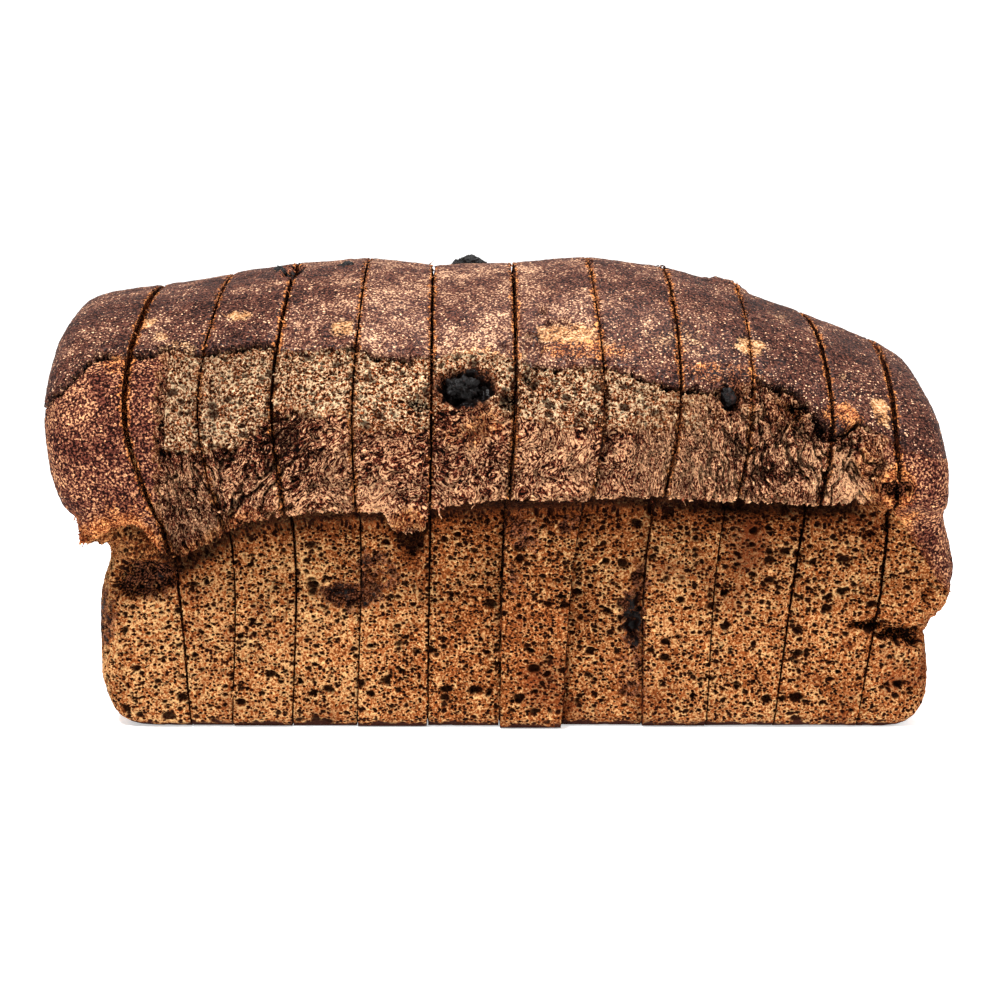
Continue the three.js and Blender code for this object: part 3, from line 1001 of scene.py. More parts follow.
def surfaces(tree, remembered, dough, cut=0.0):
    """The masks in a tree, where remembered reads an attribute of the slice by name."""
    inputs = {label: remembered(label.replace(" ", "_").lower()) for label in REMEMBERED}
    return use_group(tree, SURFACES[tree.bl_idname], {"Dough": dough, **inputs, "Cut": cut})


print(", ".join(g.name for g in SURFACES.values()))

# %% [markdown]
# ## Fibres
#
# Dough that was pulled while it baked has a grain: fine threads that run down and round like hair, and
# folds where it bunched up. Noise stretched along one direction gives threads, and warping it first makes
# them swirl. The slant leans the grain over, because the dough was pulled towards the ends of the tin.

# %% Fibre pattern
def fibre_group(kind):
    """The group that gives threads, streaks and folds."""
    group, given, result = new_group(
        kind, "pulled dough " + kind[:6].lower(),
        [("Dough", VECTOR), ("Slant", FLOAT, 0.0), ("Size", FLOAT, 1.0)],
        [("Thread", FLOAT), ("Streak", FLOAT), ("Fold", FLOAT)],
    )
    parts = parts_of(group, warp(group, given["Dough"], 0.1, 13.0, 2.0))
    across = calc(group, "MULTIPLY_ADD", parts[2], given["Slant"], parts[0])
    along = calc(group, "MULTIPLY_ADD", parts[0], calc(group, "MULTIPLY", given["Slant"], -1.0), parts[2])
    leaned = node(group, "ShaderNodeCombineXYZ", {0: across, 1: parts[1], 2: along}).outputs[0]
    loose = warp(group, leaned, 0.5, 1.7, 2.0)
    ridges = noise(
        group, stretch(group, loose, (1.5, 1.5, 0.5)), calc(group, "DIVIDE", 1.2, given["Size"]), 3.0,
        0.65
    )
    thread = rise(group, calc(group, "ABSOLUTE", calc(group, "SUBTRACT", ridges, 0.5)), 0.12, 0.0)
    folds = noise(group, stretch(group, leaned, (0.27, 0.2, 0.085)), 1.0, 2.0, 0.5)
    fold = rise(group, calc(group, "ABSOLUTE", calc(group, "SUBTRACT", folds, 0.5)), 0.06, 0.0)
    group.links.new(thread, result.inputs["Thread"])
    group.links.new(calc(group, "SUBTRACT", rise(group, ridges, 0.36, 0.64), 0.5), result.inputs["Streak"])
    group.links.new(fold, result.inputs["Fold"])
    return group


FIBRES = {kind: fibre_group(kind) for kind in BOTH_KINDS}
print(", ".join(g.name for g in FIBRES.values()))

# %% [markdown]
# ## The relief
#
# One Geometry Nodes tree moves every point of a slice in or out. Its inputs are depths that a baker could
# measure, in millimetres. The crust swells gently and ends in a ledge over the crack. The break, the roll
# and the foot each have their own texture, the lip overhangs the foot, the pits are dug, and the knife's
# edges are frayed. Points of a cut face follow the edge they belong to, so nothing folds over there.

# %% Relief inputs and memories
relief, given, result = new_group(
    "GeometryNodeTree", "bread relief",
    [
        ("Geometry", GEOMETRY),
        ("Swell", FLOAT, 1.4),
        ("Crack Depth", FLOAT, 3.2),
        ("Ledge", FLOAT, 0.8),
        ("Break Depth", FLOAT, 0.95),
        ("Pore Depth", FLOAT, 1.5),
        ("Fold Depth", FLOAT, 2.2),
        ("Thread Height", FLOAT, 0.42),
        ("Lip", FLOAT, 1.8),
        ("Undercut", FLOAT, 3.4),
        ("Fray", FLOAT, 0.7),
        ("Crumb Size", FLOAT, 0.42),
        ("Crumbs", FLOAT, 0.9),
        ("Band", FLOAT, 0.8),
        ("Bulge", FLOAT, 0.12),
        ("Wander", FLOAT, 1.6),
        ("Threads", FLOAT, 0.08),
        ("Seed", INTEGER, 0),
        ("Bread", MATERIAL),
    ],
    [("Geometry", GEOMETRY)]
)


def remembered(name, kind="FLOAT"):
    """What the points of the slice remember under this name."""
    return node(
        relief, "GeometryNodeInputNamedAttribute", {"Name": name}, data_type=kind
    ).outputs["Attribute"]


rim = remembered("rim", kind="FLOAT_VECTOR")
masks = surfaces(relief, remembered, rim)
pores = use_group(relief, PORES["GeometryNodeTree"], {"Dough": rim})
fibres = use_group(relief, FIBRES["GeometryNodeTree"], {"Dough": rim, "Slant": remembered("slant")})


def add(total, mask, amount, height):
    """Adds a height of some amount where a mask is."""
    return calc(relief, "MULTIPLY_ADD", calc(relief, "MULTIPLY", mask, amount), height, total)


def both(a, b):
    return calc(relief, "MULTIPLY", a, b)


def less_half(value):
    return calc(relief, "SUBTRACT", value, 0.5)


uncut = calc(relief, "SUBTRACT", 1.0, remembered("cut"))
print("the relief has", len(relief.interface.items_tree), "sockets")

# %% [markdown]
# The crust swells and has faint dimples, and it ends in a ledge that stands proud just above the crack. The
# crack is a narrow dark groove under the ledge, then a hollow that fades downwards. It is open in some
# places and nearly shut in others, so its depth is broken up by noise.

# %% Relief of the crust and the crack
swell = less_half(noise(relief, rim, 0.055, 2.0))
lumps = less_half(noise(relief, rim, 0.35, 3.0, 0.6))
grit = less_half(noise(relief, rim, 1.3, 2.0, 0.6))
height = both(swell, given["Swell"])

crack = masks["Crack Height"]
smooth = calc(relief, "ADD", masks["Crust"], masks["Skin"])
opening = both(
    remembered("crack_open"), rise(relief, noise(relief, rim, 0.16, 3.0, 0.7), 0.36, 0.6, 0.25, 1.15)
)
height = add(
    height, both(rise(relief, crack, 5.0, 0.4), masks["Crust"]), both(given["Ledge"], opening), 1.0
)
height = add(height, smooth, 0.6, lumps)
height = add(height, smooth, 0.3, grit)

groove = both(rise(relief, crack, -1.1, -0.45), rise(relief, crack, 0.3, -0.1))
hollow = both(rise(relief, crack, -8.0, -0.2), rise(relief, crack, 0.3, -0.1))
deep = calc(relief, "MULTIPLY_ADD", hollow, 0.28, groove)
height = add(height, both(deep, opening), given["Crack Depth"], -1.0)
print(len(relief.nodes), "nodes so far")

# %% [markdown]
# The break is torn crumb, rough all over and full of small pores. Below it lies the roll: dough that was
# pulled into folds and threads.

# %% Relief of the break and the roll
torn = masks["Break"]
small = calc(
    relief, "MULTIPLY_ADD", pores["Fine"], 0.55,
    calc(relief, "MULTIPLY_ADD", pores["Middle"], 0.8, both(pores["Large"], 0.7))
)
height = add(height, torn, given["Band"], 1.0)
height = add(height, torn, 1.8, lumps)
height = add(height, torn, 0.5, grit)
height = add(height, both(torn, small), given["Break Depth"], -1.0)
height = add(height, torn, 0.35, fibres["Thread"])
height = add(height, remembered("shred"), 1.5, lumps)
height = add(height, remembered("shred"), 0.5, fibres["Thread"])

roll = masks["Roll"]
height = add(height, both(roll, remembered("folds")), given["Fold Depth"], both(fibres["Fold"], -1.0))
height = add(height, roll, given["Thread Height"], fibres["Thread"])
height = add(height, roll, 1.6, lumps)
height = add(height, roll, 0.5, grit)
height = add(height, roll, 0.4, both(pores["Middle"], -1.0))
print(len(relief.nodes), "nodes so far")

# %% [markdown]
# At the lip the roll bulges over the foot, and the foot is tucked in below it, so the lip throws a shadow.
# The foot is open crumb with pores of three sizes.

# %% Relief of the lip and the foot
lip = masks["Lip Height"]
overhang = both(rise(relief, lip, 6.0, 0.4), rise(relief, lip, -0.4, 0.4))
height = add(height, both(overhang, remembered("lip_open")), given["Lip"], 1.0)
height = add(
    height, both(rise(relief, lip, -9.0, -0.4), both(masks["Foot"], remembered("lip_open"))),
    given["Undercut"], -1.0
)

foot = masks["Foot"]
depth = calc(
    relief, "MULTIPLY_ADD", pores["Fine"], 0.24,
    calc(relief, "MULTIPLY_ADD", pores["Middle"], 0.55, pores["Large"])
)
height = add(height, both(foot, depth), given["Pore Depth"], -1.0)
height = add(height, foot, 0.6, lumps)
height = add(height, foot, 0.3, grit)
print(len(relief.nodes), "nodes so far")

# %% [markdown]
# The bottom that lay in the tin stays flat. Pits and bubbles are dug last, so they cut through every kind
# of surface. Then the knife drags at the edges of a cut and leaves them frayed.

# %% Relief of the marks and the cuts
HIGHEST = 6.0  # no point rises more than this, in mm

rim_height = parts_of(relief, rim)[2]
height = both(height, rise(relief, rim_height, 0.5, 8.0, 0.05, 1.0))
height = calc(relief, "SUBTRACT", height, both(remembered("pit"), calc(relief, "ADD", lumps, 1.0)))
height = calc(relief, "ADD", height, both(remembered("bump"), calc(relief, "ADD", lumps, 1.0)))
height = calc(relief, "MULTIPLY_ADD", remembered("bubble"), -0.6, height)

fray = calc(relief, "MULTIPLY_ADD", less_half(noise(relief, rim, 0.9, 4.0, 0.75)), 2.4, 0.45)
edge = both(rise(relief, remembered("from_cut"), 1.2, 0.0), uncut)
cut_edge = both(calc(relief, "MAXIMUM", edge, remembered("cut")), rise(relief, rim_height, 0.5, 3.0))
height = add(height, both(cut_edge, fray), given["Fray"], -1.0)
height = both(calc(relief, "MINIMUM", height, HIGHEST), remembered("follow"))
print(len(relief.nodes), "nodes so far")

# %% [markdown]
# Points move along their outward direction, and none goes below the board. The two faces of a cut bend the
# same way, because the knife wandered, so nobody sees straight through the cut.

# %% Moving the points
here = node(relief, "GeometryNodeInputPosition").outputs[0]
outwards = remembered("outward", kind="FLOAT_VECTOR")
there = calc_vector(relief, "ADD", here, calc_vector(relief, "SCALE", outwards, both(height, MM)))
there = parts_of(relief, there)
above_board = calc(relief, "MAXIMUM", there[2], 0.0)
across_cut = stretch(relief, remembered("dough", kind="FLOAT_VECTOR"), (0.0, 0.22, 0.22))
wander = both(less_half(noise(relief, across_cut, 1.0, 1.0)), both(given["Wander"], 2 * MM))
bulged = calc(relief, "MULTIPLY_ADD", remembered("bulge"), both(given["Bulge"], MM), there[0])
bulged = calc(relief, "MULTIPLY_ADD", calc(relief, "ABSOLUTE", remembered("bulge")), wander, bulged)
place = node(relief, "ShaderNodeCombineXYZ", {"X": bulged, "Y": there[1], "Z": above_board}).outputs[0]
shaped = node(
    relief, "GeometryNodeSetPosition", {"Geometry": given["Geometry"], "Position": place}
).outputs[0]
print(len(relief.nodes), "nodes so far")

# %% [markdown]
# ## Loose crumbs
#
# A knife leaves crumbs along its cuts, and torn dough ends in small shreds. They are scattered on the
# edges of the cuts, under the lip and along the crack. Each crumb is a small closed ball, stretched and
# turned at random. It takes its colour from the bread it sits on, because it carries the same memory.

# %% Where crumbs lie
def random_vector(low, high, seed):
    """A vector with three random numbers between two vectors."""
    inputs = {0: low, 1: high, "Seed": seed}
    return node(relief, "FunctionNodeRandomValue", inputs, data_type="FLOAT_VECTOR").outputs[0]


def scatter(density, seed):
    """Points spread at random over the shaped slice."""
    inputs = {"Mesh": shaped, "Density": density, "Seed": seed}
    return node(relief, "GeometryNodeDistributePointsOnFaces", inputs).outputs["Points"]


def shaken(pieces, scale, amount):
    """Real geometry with its points moved about by noise, so that no two crumbs are alike."""
    real = node(relief, "GeometryNodeRealizeInstances", {"Geometry": pieces}).outputs[0]
    shake = noise(relief, node(relief, "GeometryNodeInputPosition").outputs[0], scale, 1.0, colour=True)
    offset = stretch(relief, calc_vector(relief, "SUBTRACT", shake, (0.5, 0.5, 0.5)), (amount * MM,) * 3)
    return node(relief, "GeometryNodeSetPosition", {"Geometry": real, "Offset": offset}).outputs[0]


clumps = rise(relief, noise(relief, rim, 0.16, 3.0, 0.7), 0.42, 0.62, 0.12, 1.0)
near_cut = both(rise(relief, remembered("from_cut"), 0.8, 0.1), uncut)
near_cut = both(near_cut, clumps)
near_lip = both(rise(relief, calc(relief, "ABSOLUTE", lip), 1.3, 0.2), uncut)
near_crack = both(rise(relief, calc(relief, "ABSOLUTE", crack), 1.0, 0.2), remembered("crack_open"))
on_foot = calc(relief, "MULTIPLY_ADD", foot, -0.6, 1.0)
wanted = calc(
    relief, "MAXIMUM", both(near_cut, on_foot), calc(relief, "MAXIMUM", near_lip, both(near_crack, 0.8))
)
wanted = calc(relief, "MAXIMUM", wanted, both(calc(relief, "ADD", torn, roll), 0.12))
wanted = both(wanted, rise(relief, rim_height, 1.5, 4.0))
thick = calc(relief, "MULTIPLY", calc(relief, "MULTIPLY", wanted, given["Crumbs"]), 1.0 / MM**2)
print(len(relief.nodes), "nodes so far")

# %% [markdown]
# Each crumb is an icosphere with few faces, because there are thousands of them.

# %% Crumbs
ball = node(
    relief, "GeometryNodeMeshIcoSphere", {"Radius": both(given["Crumb Size"], MM), "Subdivisions": 1}
)
crumbs = node(relief, "GeometryNodeInstanceOnPoints", {
    "Points": scatter(thick, given["Seed"]),
    "Instance": ball.outputs["Mesh"],
    "Rotation": random_vector((0.0, 0.0, 0.0), (6.28, 6.28, 6.28), 5),
    "Scale": random_vector((0.35, 0.35, 0.5), (0.85, 0.7, 1.9), 9),
}).outputs[0]
crumbs = shaken(crumbs, 1800.0, 0.6)
print(len(relief.nodes), "nodes so far")

# %% [markdown]
# Torn dough also ends in thin fibres that stick out of the cuts, the lip and the crack. A fibre is a slim
# cone that points roughly outwards, and noise bends it into a curl.

# %% Threads
near_edges = calc(
    relief, "MAXIMUM", both(near_cut, on_foot), calc(relief, "MAXIMUM", near_lip, both(near_crack, 0.7))
)
off_board = both(both(near_edges, clumps), rise(relief, rim_height, 3.0, 8.0))
loose_ends = both(off_board, calc(relief, "MULTIPLY", given["Threads"], 1.0 / MM**2))
cone = node(relief, "GeometryNodeMeshCone", {
    "Vertices": 6,
    "Side Segments": 4,
    "Radius Top": 0.05 * MM,
    "Radius Bottom": 0.2 * MM,
    "Depth": 2.2 * MM,
})
aim = calc_vector(relief, "ADD", outwards, random_vector((-1.1, -1.1, -1.1), (1.1, 1.1, 1.1), 12))
threads = node(relief, "GeometryNodeInstanceOnPoints", {
    "Points": scatter(loose_ends, 11),
    "Instance": cone.outputs["Mesh"],
    "Rotation": node(relief, "FunctionNodeAlignRotationToVector", {"Vector": aim}, axis="Z").outputs[0],
    "Scale": random_vector((0.6, 0.6, 0.4), (1.3, 1.3, 1.3), 13),
}).outputs[0]
threads = shaken(threads, 420.0, 3.0)
print(len(relief.nodes), "nodes so far")

# %% [markdown]
# The slice, its crumbs and its threads become one piece with one material, because they are one dough.

# %% The end of the relief tree
joined = node(relief, "GeometryNodeJoinGeometry").inputs[0]
for part in (threads, crumbs, shaped):
    relief.links.new(part, joined)
rounded = node(relief, "GeometryNodeSetShadeSmooth", {"Geometry": joined.node.outputs[0]}).outputs[0]
finished = node(
    relief, "GeometryNodeSetMaterial", {"Geometry": rounded, "Material": given["Bread"]}
).outputs[0]
relief.links.new(finished, result.inputs["Geometry"])
print("the relief tree has", len(relief.nodes), "nodes")

# %% [markdown]
# ## The finish of the bread
#
# One material serves all the slices, because they are one dough. It reads the same masks as the relief and
# lays colours over them: satin brown crust with fine pale specks, tan torn crumb, dark roll with golden
# threads, and brown crumb whose pores are painted dark as shade and whose rims are painted pale as a
# highlight. Colours are given as a painter would pick them, in screen values from 0 to 255, and turned into
# the linear values that Blender mixes.

# %% Colours
def linear(value):
    """The linear value of a screen value from 0 to 255."""
    return ((value / 255 + 0.055) / 1.055) ** 2.4 if value > 10 else value / 255 / 12.92


def tint(red, green, blue):
    """A colour given in screen values."""
    return linear(red), linear(green), linear(blue), 1.0


CRUST = tint(22, 8, 7), tint(102, 60, 47), tint(250, 200, 158)
SKIN_TONES = tint(22, 6, 5), tint(104, 54, 42), tint(255, 190, 136)
BREAK = tint(14, 3, 1), tint(188, 100, 54), tint(255, 222, 176)
ROLL = tint(8, 2, 1), tint(136, 62, 42), tint(255, 196, 146)
SHRED = tint(16, 3, 1), tint(150, 68, 30), tint(255, 180, 108)
CRUMB = tint(14, 3, 1), tint(176, 92, 42), tint(255, 200, 134)
BLISTER = tint(120, 62, 34), tint(222, 158, 98), tint(255, 230, 186)
CRUMB_RED, CRUST_BASE = tint(128, 58, 28), tint(70, 36, 28)
PORE_DARK, PORE_BLACK = tint(34, 10, 4), tint(8, 2, 1)
CHOCOLATE_BLACK, CHOCOLATE_DARK, CHOCOLATE_STAIN = tint(8, 5, 5), tint(18, 8, 6), tint(58, 26, 18)


def mix(tree, share, first, second):
    """The first colour where share is 0 and the second where it is 1."""
    return node(tree, "ShaderNodeMix", {0: share, 6: first, 7: second}, data_type="RGBA").outputs[2]


def tones(tree, value, dark, middle, light):
    """A colour for every tone: dark at 0, middle at a half and light at 1."""
    ramp = node(tree, "ShaderNodeValToRGB", {"Fac": value})
    ramp.color_ramp.elements[0].color = dark
    ramp.color_ramp.elements[1].color = light
    ramp.color_ramp.elements.new(0.5).color = middle
    return ramp.outputs["Color"]


print("the crust's middle tone is", [round(c, 3) for c in CRUST[1]])

# %% [markdown]
# The material reads what each point remembers, places the same groups as the relief, and makes some finer
# noises in millimetres: speckle like grains of flour, pebble like coarse meal, and broad patches.

# %% Patterns of the bread material
bread = bpy.data.materials.new("chocolate bread")
bread.use_nodes = True
paint = bread.node_tree
shader = paint.nodes["Principled BSDF"]


def read(name):
    """What the points of the slice remember under this name."""
    return node(paint, "ShaderNodeAttribute", attribute_name=name).outputs["Fac"]


def times(a, b, clamp=False):
    return calc(paint, "MULTIPLY", a, b, clamp=clamp)


def most(a, b):
    return calc(paint, "MAXIMUM", a, b)


def plus(start, *parts):
    """Adds up a tone from a start and pairs of a pattern and its weight."""
    total = start
    for pattern, weight in parts:
        total = calc(paint, "MULTIPLY_ADD", pattern, weight, total)
    return total


def swing(value):
    """A noise from 0 to 1 as one that swings about nought."""
    return calc(paint, "SUBTRACT", value, 0.5)


dough = node(paint, "ShaderNodeAttribute", attribute_name="dough").outputs["Vector"]
masks = surfaces(paint, read, dough, read("cut"))
pores = use_group(paint, PORES["ShaderNodeTree"], {"Dough": dough})
slanted = {"Dough": dough, "Slant": read("slant")}
fibres = use_group(paint, FIBRES["ShaderNodeTree"], slanted)
hairs = use_group(paint, FIBRES["ShaderNodeTree"], {**slanted, "Size": 0.72})
broad = swing(noise(paint, dough, 0.09, 4.0, 0.6))
in_mm = calc_vector(paint, "SCALE", node(paint, "ShaderNodeTexCoord").outputs["Object"], 1 / MM)
speckle = swing(rise(paint, noise(paint, in_mm, 1.75, 1.4, 0.6), 0.36, 0.64))
pebble = noise(paint, in_mm, 2.2, 1.5, 0.6)
patches = swing(noise(paint, in_mm, 0.34, 3.0, 0.65))
hollow = most(times(pores["Fine"], 0.9), most(pores["Middle"], pores["Large"]))
uncut = calc(paint, "SUBTRACT", 1.0, read("cut"))
print(len(paint.nodes), "nodes so far")

# %% [markdown]
# Crust and skin are satin browns with pale freckles, where tiny bubbles baked to a crisp. The freckles
# crowd towards the crack. Blisters are paler than the rest.

# %% Colour of the crust and the skin
freckles = most(rise(paint, pore_layer(paint, in_mm, 0.95, 0.4, 1.8), 0.0, 0.4),
                times(rise(paint, pore_layer(paint, in_mm, 0.6, 0.46, 0.8), 0.0, 0.45), 0.7))
crowded = plus(0.45, (rise(paint, masks["Crack Height"], 18.0, 1.0), 0.45), (broad, 2.2), (speckle, 0.5))
freckles = times(freckles, most(crowded, 0.0))
patch = rise(paint, plus(read("pale"), (speckle, 0.4), (patches, 1.6)), 0.4, 1.1)
crust_tone = plus(
    0.32, (speckle, 0.5), (freckles, 0.85), (broad, 0.9), (patches, 0.8), (read("tone_top"), 1.0)
)
crust_colour = tones(paint, crust_tone, *CRUST)
crust_colour = mix(
    paint, times(patch, 0.6), crust_colour,
    tones(paint, plus(0.42, (speckle, 0.5), (patches, 1.2)), *BLISTER)
)
skin_colour = tones(
    paint, plus(0.31, (speckle, 0.7), (freckles, 0.4), (broad, 1.0), (patches, 0.6)), *SKIN_TONES
)
print(len(paint.nodes), "nodes so far")

# %% [markdown]
# Break and roll are torn dough with bright threads. The roll is painted darker just under the break, as the
# shadow of the torn edge above it, and darker in its pits, partly as shade in the hollows. It is lighter
# along the lip.

# %% Colour of the break and the roll
break_tone = plus(
    0.5, (speckle, 1.0), (hairs["Streak"], 0.8), (pores["Wall"], 0.2), (broad, 0.6), (patches, 1.4)
)
break_colour = tones(paint, break_tone, *BREAK)
lip = masks["Lip Height"]
lip_edge = times(rise(paint, lip, 2.0, 0.2), rise(paint, lip, -0.3, 0.1))
# The pits are painted darker, partly as shade in the hollow and partly as melted chocolate.
dug = rise(paint, read("pit"), 0.4, 2.4)
low = rise(paint, lip, 16.0, 3.0)
# Painted shadow under the edge of the break.
shaded = rise(paint, read("above_roll"), -7.0, -0.5)
roll_tone = plus(
    0.29, (speckle, 0.65), (hairs["Streak"], 1.15), (fibres["Thread"], 0.25), (broad, 1.6),
    (lip_edge, 0.25)
)
roll_tone = plus(
    roll_tone, (low, 0.08), (times(shaded, read("break_strength")), -0.14), (patches, 1.3),
    (read("tone_roll"), 1.0)
)
roll_colour = tones(paint, plus(roll_tone, (dug, -0.4)), *ROLL)
print(len(paint.nodes), "nodes so far")

# %% [markdown]
# The foot's pores are painted dark as shade, with rims painted pale as a highlight. Under the lip the
# foot is painted redder and darker as shade, and nearly black as a painted shadow in the corner right
# below it.

# %% Colour of the foot
foot_tone = plus(
    0.56, (speckle, 0.5), (hairs["Streak"], 0.15), (pores["Wall"], 0.28), (broad, 0.6), (patches, 0.8)
)
# The fine pores are painted darker as shade.
foot_tone = plus(foot_tone, (read("tone_foot"), 1.0), (pores["Fine"], -0.55))
# Painted shade under the lip: the foot is darker there, and a little redder.
under = times(times(rise(paint, lip, -13.0, -3.0), masks["Foot"]), read("lip_open"))
tucked = plus(lip, (speckle, 0.8), (patches, 3.0))
# Painted shadow: nearly black in the corner right below the lip.
close = times(times(rise(paint, tucked, -6.2, -4.4), rise(paint, lip, 0.1, -0.2)), read("lip_open"))
# Painted shade in the gaps between the slices: a cut face is darker near its edge, fading out by 6 mm in.
in_cut = times(read("cut"), rise(paint, read("from_cut"), 6.0, 1.0))
crumb_colour = tones(paint, plus(foot_tone, (under, -0.28), (dug, -0.3), (in_cut, -0.7)), *CRUMB)
redness = rise(paint, noise(paint, dough, 0.06, 3.0, 0.6), 0.52, 0.75)
crumb_colour = mix(paint, times(most(redness, times(under, 0.3)), 0.7), crumb_colour, CRUMB_RED)
crumb_colour = mix(paint, times(close, 0.92), crumb_colour, PORE_BLACK)
print(len(paint.nodes), "nodes so far")

# %% [markdown]
# The masks lay the colours over each other. Then comes the torn dough, which is redder than the rest:
# along the ends of the lip, where flakes lifted, and in an uneven strip beside each cut, where the knife
# tore off the edge of the crust.

# %% Torn dough
colour = mix(paint, masks["Crust"], crumb_colour, crust_colour)
colour = mix(paint, masks["Skin"], colour, skin_colour)
colour = mix(paint, masks["Roll"], colour, roll_colour)
colour = mix(paint, masks["Break"], colour, break_colour)

lifted = times(times(rise(paint, lip, 4.0, 1.6), rise(paint, lip, -0.3, 0.1)), read("neck"))
lifted = most(lifted, rise(paint, plus(read("shred"), (broad, 1.4), (speckle, 0.3)), 0.35, 0.8))
lifted = times(lifted, uncut)
shred_tone = plus(
    0.34, (speckle, 0.5), (hairs["Streak"], 0.7), (fibres["Thread"], 0.15), (broad, 0.8), (patches, 1.6)
)
colour = mix(paint, times(lifted, 0.8), colour, tones(paint, shred_tone, *SHRED))

top = calc(paint, "SUBTRACT", calc(paint, "SUBTRACT", 1.0, masks["Foot"]), read("cut"), clamp=True)
frayed = plus(read("from_cut"), (swing(noise(paint, in_mm, 0.5, 3.0, 0.7)), 4.0), (broad, -2.0))
torn_edge = tones(
    paint, plus(0.38, (speckle, 0.9), (patches, 1.5)), PORE_BLACK, tint(118, 60, 32), tint(246, 160, 88)
)
colour = mix(paint, times(rise(paint, frayed, 0.6, 0.2), times(top, 0.9)), colour, torn_edge)
print(len(paint.nodes), "nodes so far")

# %% [markdown]
# Dark places come last, over everything else: pores, folds and the crack, all painted dark as shade, the
# rims of bubbles, the pits, black partly as melted chocolate and partly as shade, the smears of melted
# chocolate, and the thin dark skin that the tin left along the bottom.

# %% Dark places
open_parts = most(most(masks["Foot"], read("cut")), times(masks["Break"], 0.9))
# Painted shade: the pores are darkened.
colour = mix(paint, times(hollow, times(open_parts, 0.96)), colour, PORE_DARK)
# Painted shade in the creases of the folds.
colour = mix(
    paint, times(times(fibres["Fold"], read("folds")), times(masks["Roll"], 0.85)), colour, PORE_BLACK
)
colour = mix(paint, times(read("bubble"), 0.7), colour, PORE_DARK)

crack = masks["Crack Height"]
opening = times(read("crack_open"), rise(paint, noise(paint, dough, 0.16, 3.0, 0.7), 0.36, 0.6, 0.25, 1.15))
groove = times(rise(paint, crack, -1.15, -0.6), rise(paint, crack, 0.25, -0.1))
groove = times(groove, times(opening, uncut))
# Painted shadow: the groove under the crust's ledge is black.
colour = mix(paint, times(groove, 1.5, clamp=True), colour, PORE_BLACK)
# The pits are painted black, partly as melted chocolate and partly as shade in the hollow.
colour = mix(
    paint, times(rise(paint, read("pit"), 0.8, 2.6), rise(paint, speckle, 0.35, -0.1, 0.35, 0.98)),
    colour, PORE_BLACK
)
stain = plus(read("smear"), (swing(noise(paint, dough, 0.45, 4.0, 0.75)), 2.2), (speckle, 0.3))
stain_colour = tones(
    paint, plus(0.36, (speckle, 0.8), (hairs["Thread"], 0.2)), PORE_BLACK, CHOCOLATE_STAIN,
    tint(196, 120, 84)
)
colour = mix(paint, rise(paint, stain, 0.4, 0.68, 0.0, 0.9), colour, stain_colour)
black = rise(paint, stain, 0.85, 0.95)
colour = mix(paint, black, colour, CHOCOLATE_DARK)

height = parts_of(paint, dough)[2]
base_line = calc(paint, "MULTIPLY_ADD", swing(noise(paint, dough, 0.25, 3.0, 0.6)), 4.0, height)
colour = mix(paint, times(rise(paint, base_line, 1.6, 0.9), uncut), colour, CRUST_BASE)
paint.links.new(colour, shader.inputs["Base Color"])
print(len(paint.nodes), "nodes so far")

# %% [markdown]
# Crumb is dull. The crust has a thin satin coat, and so has melted chocolate. Relief that is too fine for
# the mesh, such as freckles and grains, goes into a bump.

# %% Gloss and fine relief
satin = calc(paint, "MULTIPLY_ADD", masks["Skin"], 0.8, masks["Crust"])
paint.links.new(most(times(masks["Crust"], 0.1), times(black, 0.15)), shader.inputs["Coat Weight"])
shader.inputs["Coat Roughness"].default_value = 0.3
shader.inputs["Roughness"].default_value = 0.85
shader.inputs["Specular IOR Level"].default_value = 0.04

rugged = most(masks["Roll"], most(masks["Break"], times(masks["Foot"], 0.7)))
bump_height = plus(
    times(pebble, 0.6), (times(hollow, open_parts), -0.5), (times(hairs["Thread"], rugged), 0.45)
)
bump_height = plus(
    bump_height, (times(freckles, satin), 0.15), (times(speckle, plus(0.12, (rugged, 0.3))), 1.0)
)
bump = node(paint, "ShaderNodeBump", {"Height": bump_height, "Strength": 1.0, "Distance": MM})
paint.links.new(bump.outputs[0], shader.inputs["Normal"])
print("the bread material has", len(paint.nodes), "nodes")

# %% [markdown]
# ## Baking the relief into each slice
#
# The modifier is added, its inputs are set by the sockets' identifiers, and the evaluated result is taken
# as a plain mesh. After that the modifier goes, so what is left is an ordinary mesh that any tool can read.

# %% Running a tree on a piece
def run_tree(piece, tree, **values):
    """Shapes a piece with a Geometry Nodes tree and keeps the result as its mesh."""
    modifier = piece.modifiers.new(tree.name, "NODES")
    modifier.node_group = tree
    inputs = [s for s in tree.interface.items_tree if s.in_out == "INPUT"]
    sockets = {s.name.replace(" ", "_").lower(): s.identifier for s in inputs}
    for key, value in values.items():
        modifier[sockets[key]] = value
    graph = bpy.context.evaluated_depsgraph_get()
    graph.update()
    shaped_piece = piece.evaluated_get(graph)
    made = bpy.data.meshes.new_from_object(shaped_piece, preserve_all_data_layers=True, depsgraph=graph)
    piece.modifiers.remove(modifier)
    old = piece.data
    piece.data = made
    bpy.data.meshes.remove(old)
    return piece


def triangles(piece):
    """How many triangles a piece has."""
    return sum(len(p.vertices) - 2 for p in piece.data.polygons)


print("the relief takes", [s.name for s in relief.interface.items_tree if s.in_out == "INPUT"][1:])

# %% [markdown]
# Every slice gets its own seed, so no two have the same crumbs. The ends are larger pieces, so they get
# fewer crumbs for each square millimetre. Then each slice is hung on the loaf's body in the place of its
# plain CAD slice.

# %% Slices
FIRST_SEED = 3
CRUMBS_ON_SLICE, CRUMBS_ON_END = 0.9, 0.5  # for each square millimetre

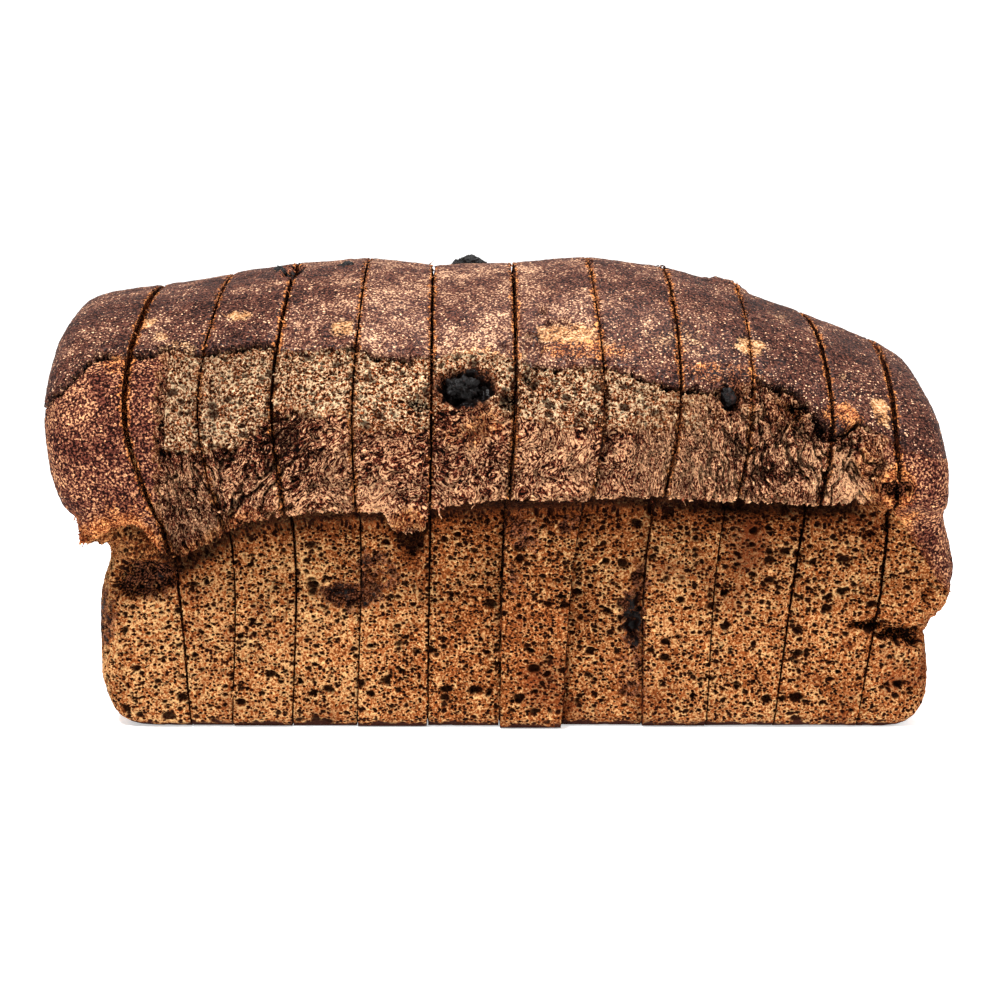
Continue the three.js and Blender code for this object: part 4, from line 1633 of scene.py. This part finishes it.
for number, name in enumerate(BREAD):
    piece = slice_object(name, fine_slice(name))
    crumbs_here = CRUMBS_ON_END if name.startswith("heel") else CRUMBS_ON_SLICE
    run_tree(piece, relief, bread=bread, seed=number + FIRST_SEED, crumbs=crumbs_here)
    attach(piece, "root")
    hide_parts(name)
    print(name, triangles(piece), "triangles")

# %% [markdown]
# ## Chocolate chunks
#
# Lumps of dark chocolate softened in the oven and set again, so they are rounded lumps with a skin that
# wrinkled as it cooled. Each one starts as a ball with the size of its place in the frame, and a small
# tree gives it lumps and wrinkles.

# %% Chunk relief
lump_tree, given, result = new_group(
    "GeometryNodeTree", "melted lump",
    [("Geometry", GEOMETRY), ("Lumps", FLOAT, 1.3), ("Wrinkles", FLOAT, 0.3),
     ("Seed", FLOAT, 0.0), ("Chocolate", MATERIAL)],
    [("Geometry", GEOMETRY)],
)
where = node(lump_tree, "GeometryNodeInputPosition").outputs[0]
seed = node(lump_tree, "ShaderNodeCombineXYZ", {0: given["Seed"]}).outputs[0]
shifted = calc_vector(lump_tree, "ADD", where, seed)
big = calc(lump_tree, "SUBTRACT", noise(lump_tree, shifted, 280.0, 3.0, 0.6), 0.62)
fine = noise(lump_tree, warp(lump_tree, shifted, 500.0, 0.002), 1300.0, 3.0, 0.6)
fine = calc(
    lump_tree, "MULTIPLY", calc(lump_tree, "ABSOLUTE", calc(lump_tree, "SUBTRACT", fine, 0.5)), -4.0
)
wrinkled = calc(lump_tree, "MULTIPLY", fine, given["Wrinkles"])
push = calc(lump_tree, "MULTIPLY_ADD", big, calc(lump_tree, "MULTIPLY", given["Lumps"], 3.0), wrinkled)
outwards = node(lump_tree, "GeometryNodeInputNormal").outputs[0]
offset = calc_vector(lump_tree, "SCALE", outwards, calc(lump_tree, "MULTIPLY", push, MM))
shaped = node(
    lump_tree, "GeometryNodeSetPosition", {"Geometry": given["Geometry"], "Offset": offset}
).outputs[0]
real = node(lump_tree, "GeometryNodeRealizeInstances", {"Geometry": shaped}).outputs[0]
finished = node(
    lump_tree, "GeometryNodeSetMaterial", {"Geometry": real, "Material": given["Chocolate"]}
).outputs[0]
lump_tree.links.new(finished, result.inputs["Geometry"])
print("the lump tree has", len(lump_tree.nodes), "nodes")

# %% [markdown]
# Chocolate is nearly black, with a dull bloom in patches where its fat came to the surface. The same noise
# makes those patches rougher.

# %% Chocolate material
chocolate = bpy.data.materials.new("dark chocolate")
chocolate.use_nodes = True
paint = chocolate.node_tree
shader = paint.nodes["Principled BSDF"]
where = node(paint, "ShaderNodeTexCoord").outputs["Object"]
bloom = noise(paint, where, 700.0, 4.0, 0.65)
chocolate_colour = mix(paint, rise(paint, bloom, 0.58, 0.8), CHOCOLATE_BLACK, CHOCOLATE_STAIN)
paint.links.new(chocolate_colour, shader.inputs["Base Color"])
paint.links.new(rise(paint, bloom, 0.3, 0.7, 0.28, 0.5), shader.inputs["Roughness"])
shader.inputs["Specular IOR Level"].default_value = 0.16
grains = noise(paint, where, 2600.0, 3.0, 0.6)
bump = node(paint, "ShaderNodeBump", {"Height": grains, "Strength": 0.6, "Distance": 0.3 * MM})
paint.links.new(bump.outputs[0], shader.inputs["Normal"])
print("the chocolate material has", len(paint.nodes), "nodes")

# %% [markdown]
# The chunk in the break tore open with the dough, so it is more ragged than the others.

# %% Chunks
for number, name in enumerate(CHOCOLATE):
    low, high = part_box(name)
    mesh = bpy.data.meshes.new(name + "_lump")
    piece = bpy.data.objects.new(name + "_lump", mesh)
    bpy.context.scene.collection.objects.link(piece)
    ball = bmesh.new()
    bmesh.ops.create_icosphere(ball, subdivisions=5, radius=1.0)
    for v in ball.verts:
        v.co = Vector([(low[a] + high[a]) / 2 + v.co[a] * (high[a] - low[a]) / 2 for a in range(3)])
    ball.to_mesh(mesh)
    ball.free()
    mesh.shade_smooth()
    ragged = name == "chocolate_chunk_break"
    lumps, wrinkles = (2.6, 1.1) if ragged else (1.3, 0.4)
    run_tree(piece, lump_tree, lumps=lumps, wrinkles=wrinkles, seed=number * 0.7, chocolate=chocolate)
    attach(piece, "root")
    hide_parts(name)
    print(name, triangles(piece), "triangles")

# %% Sizes and the end
low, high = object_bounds()
print("visual box", [round(v / MM, 1) for v in high - low], "mm")
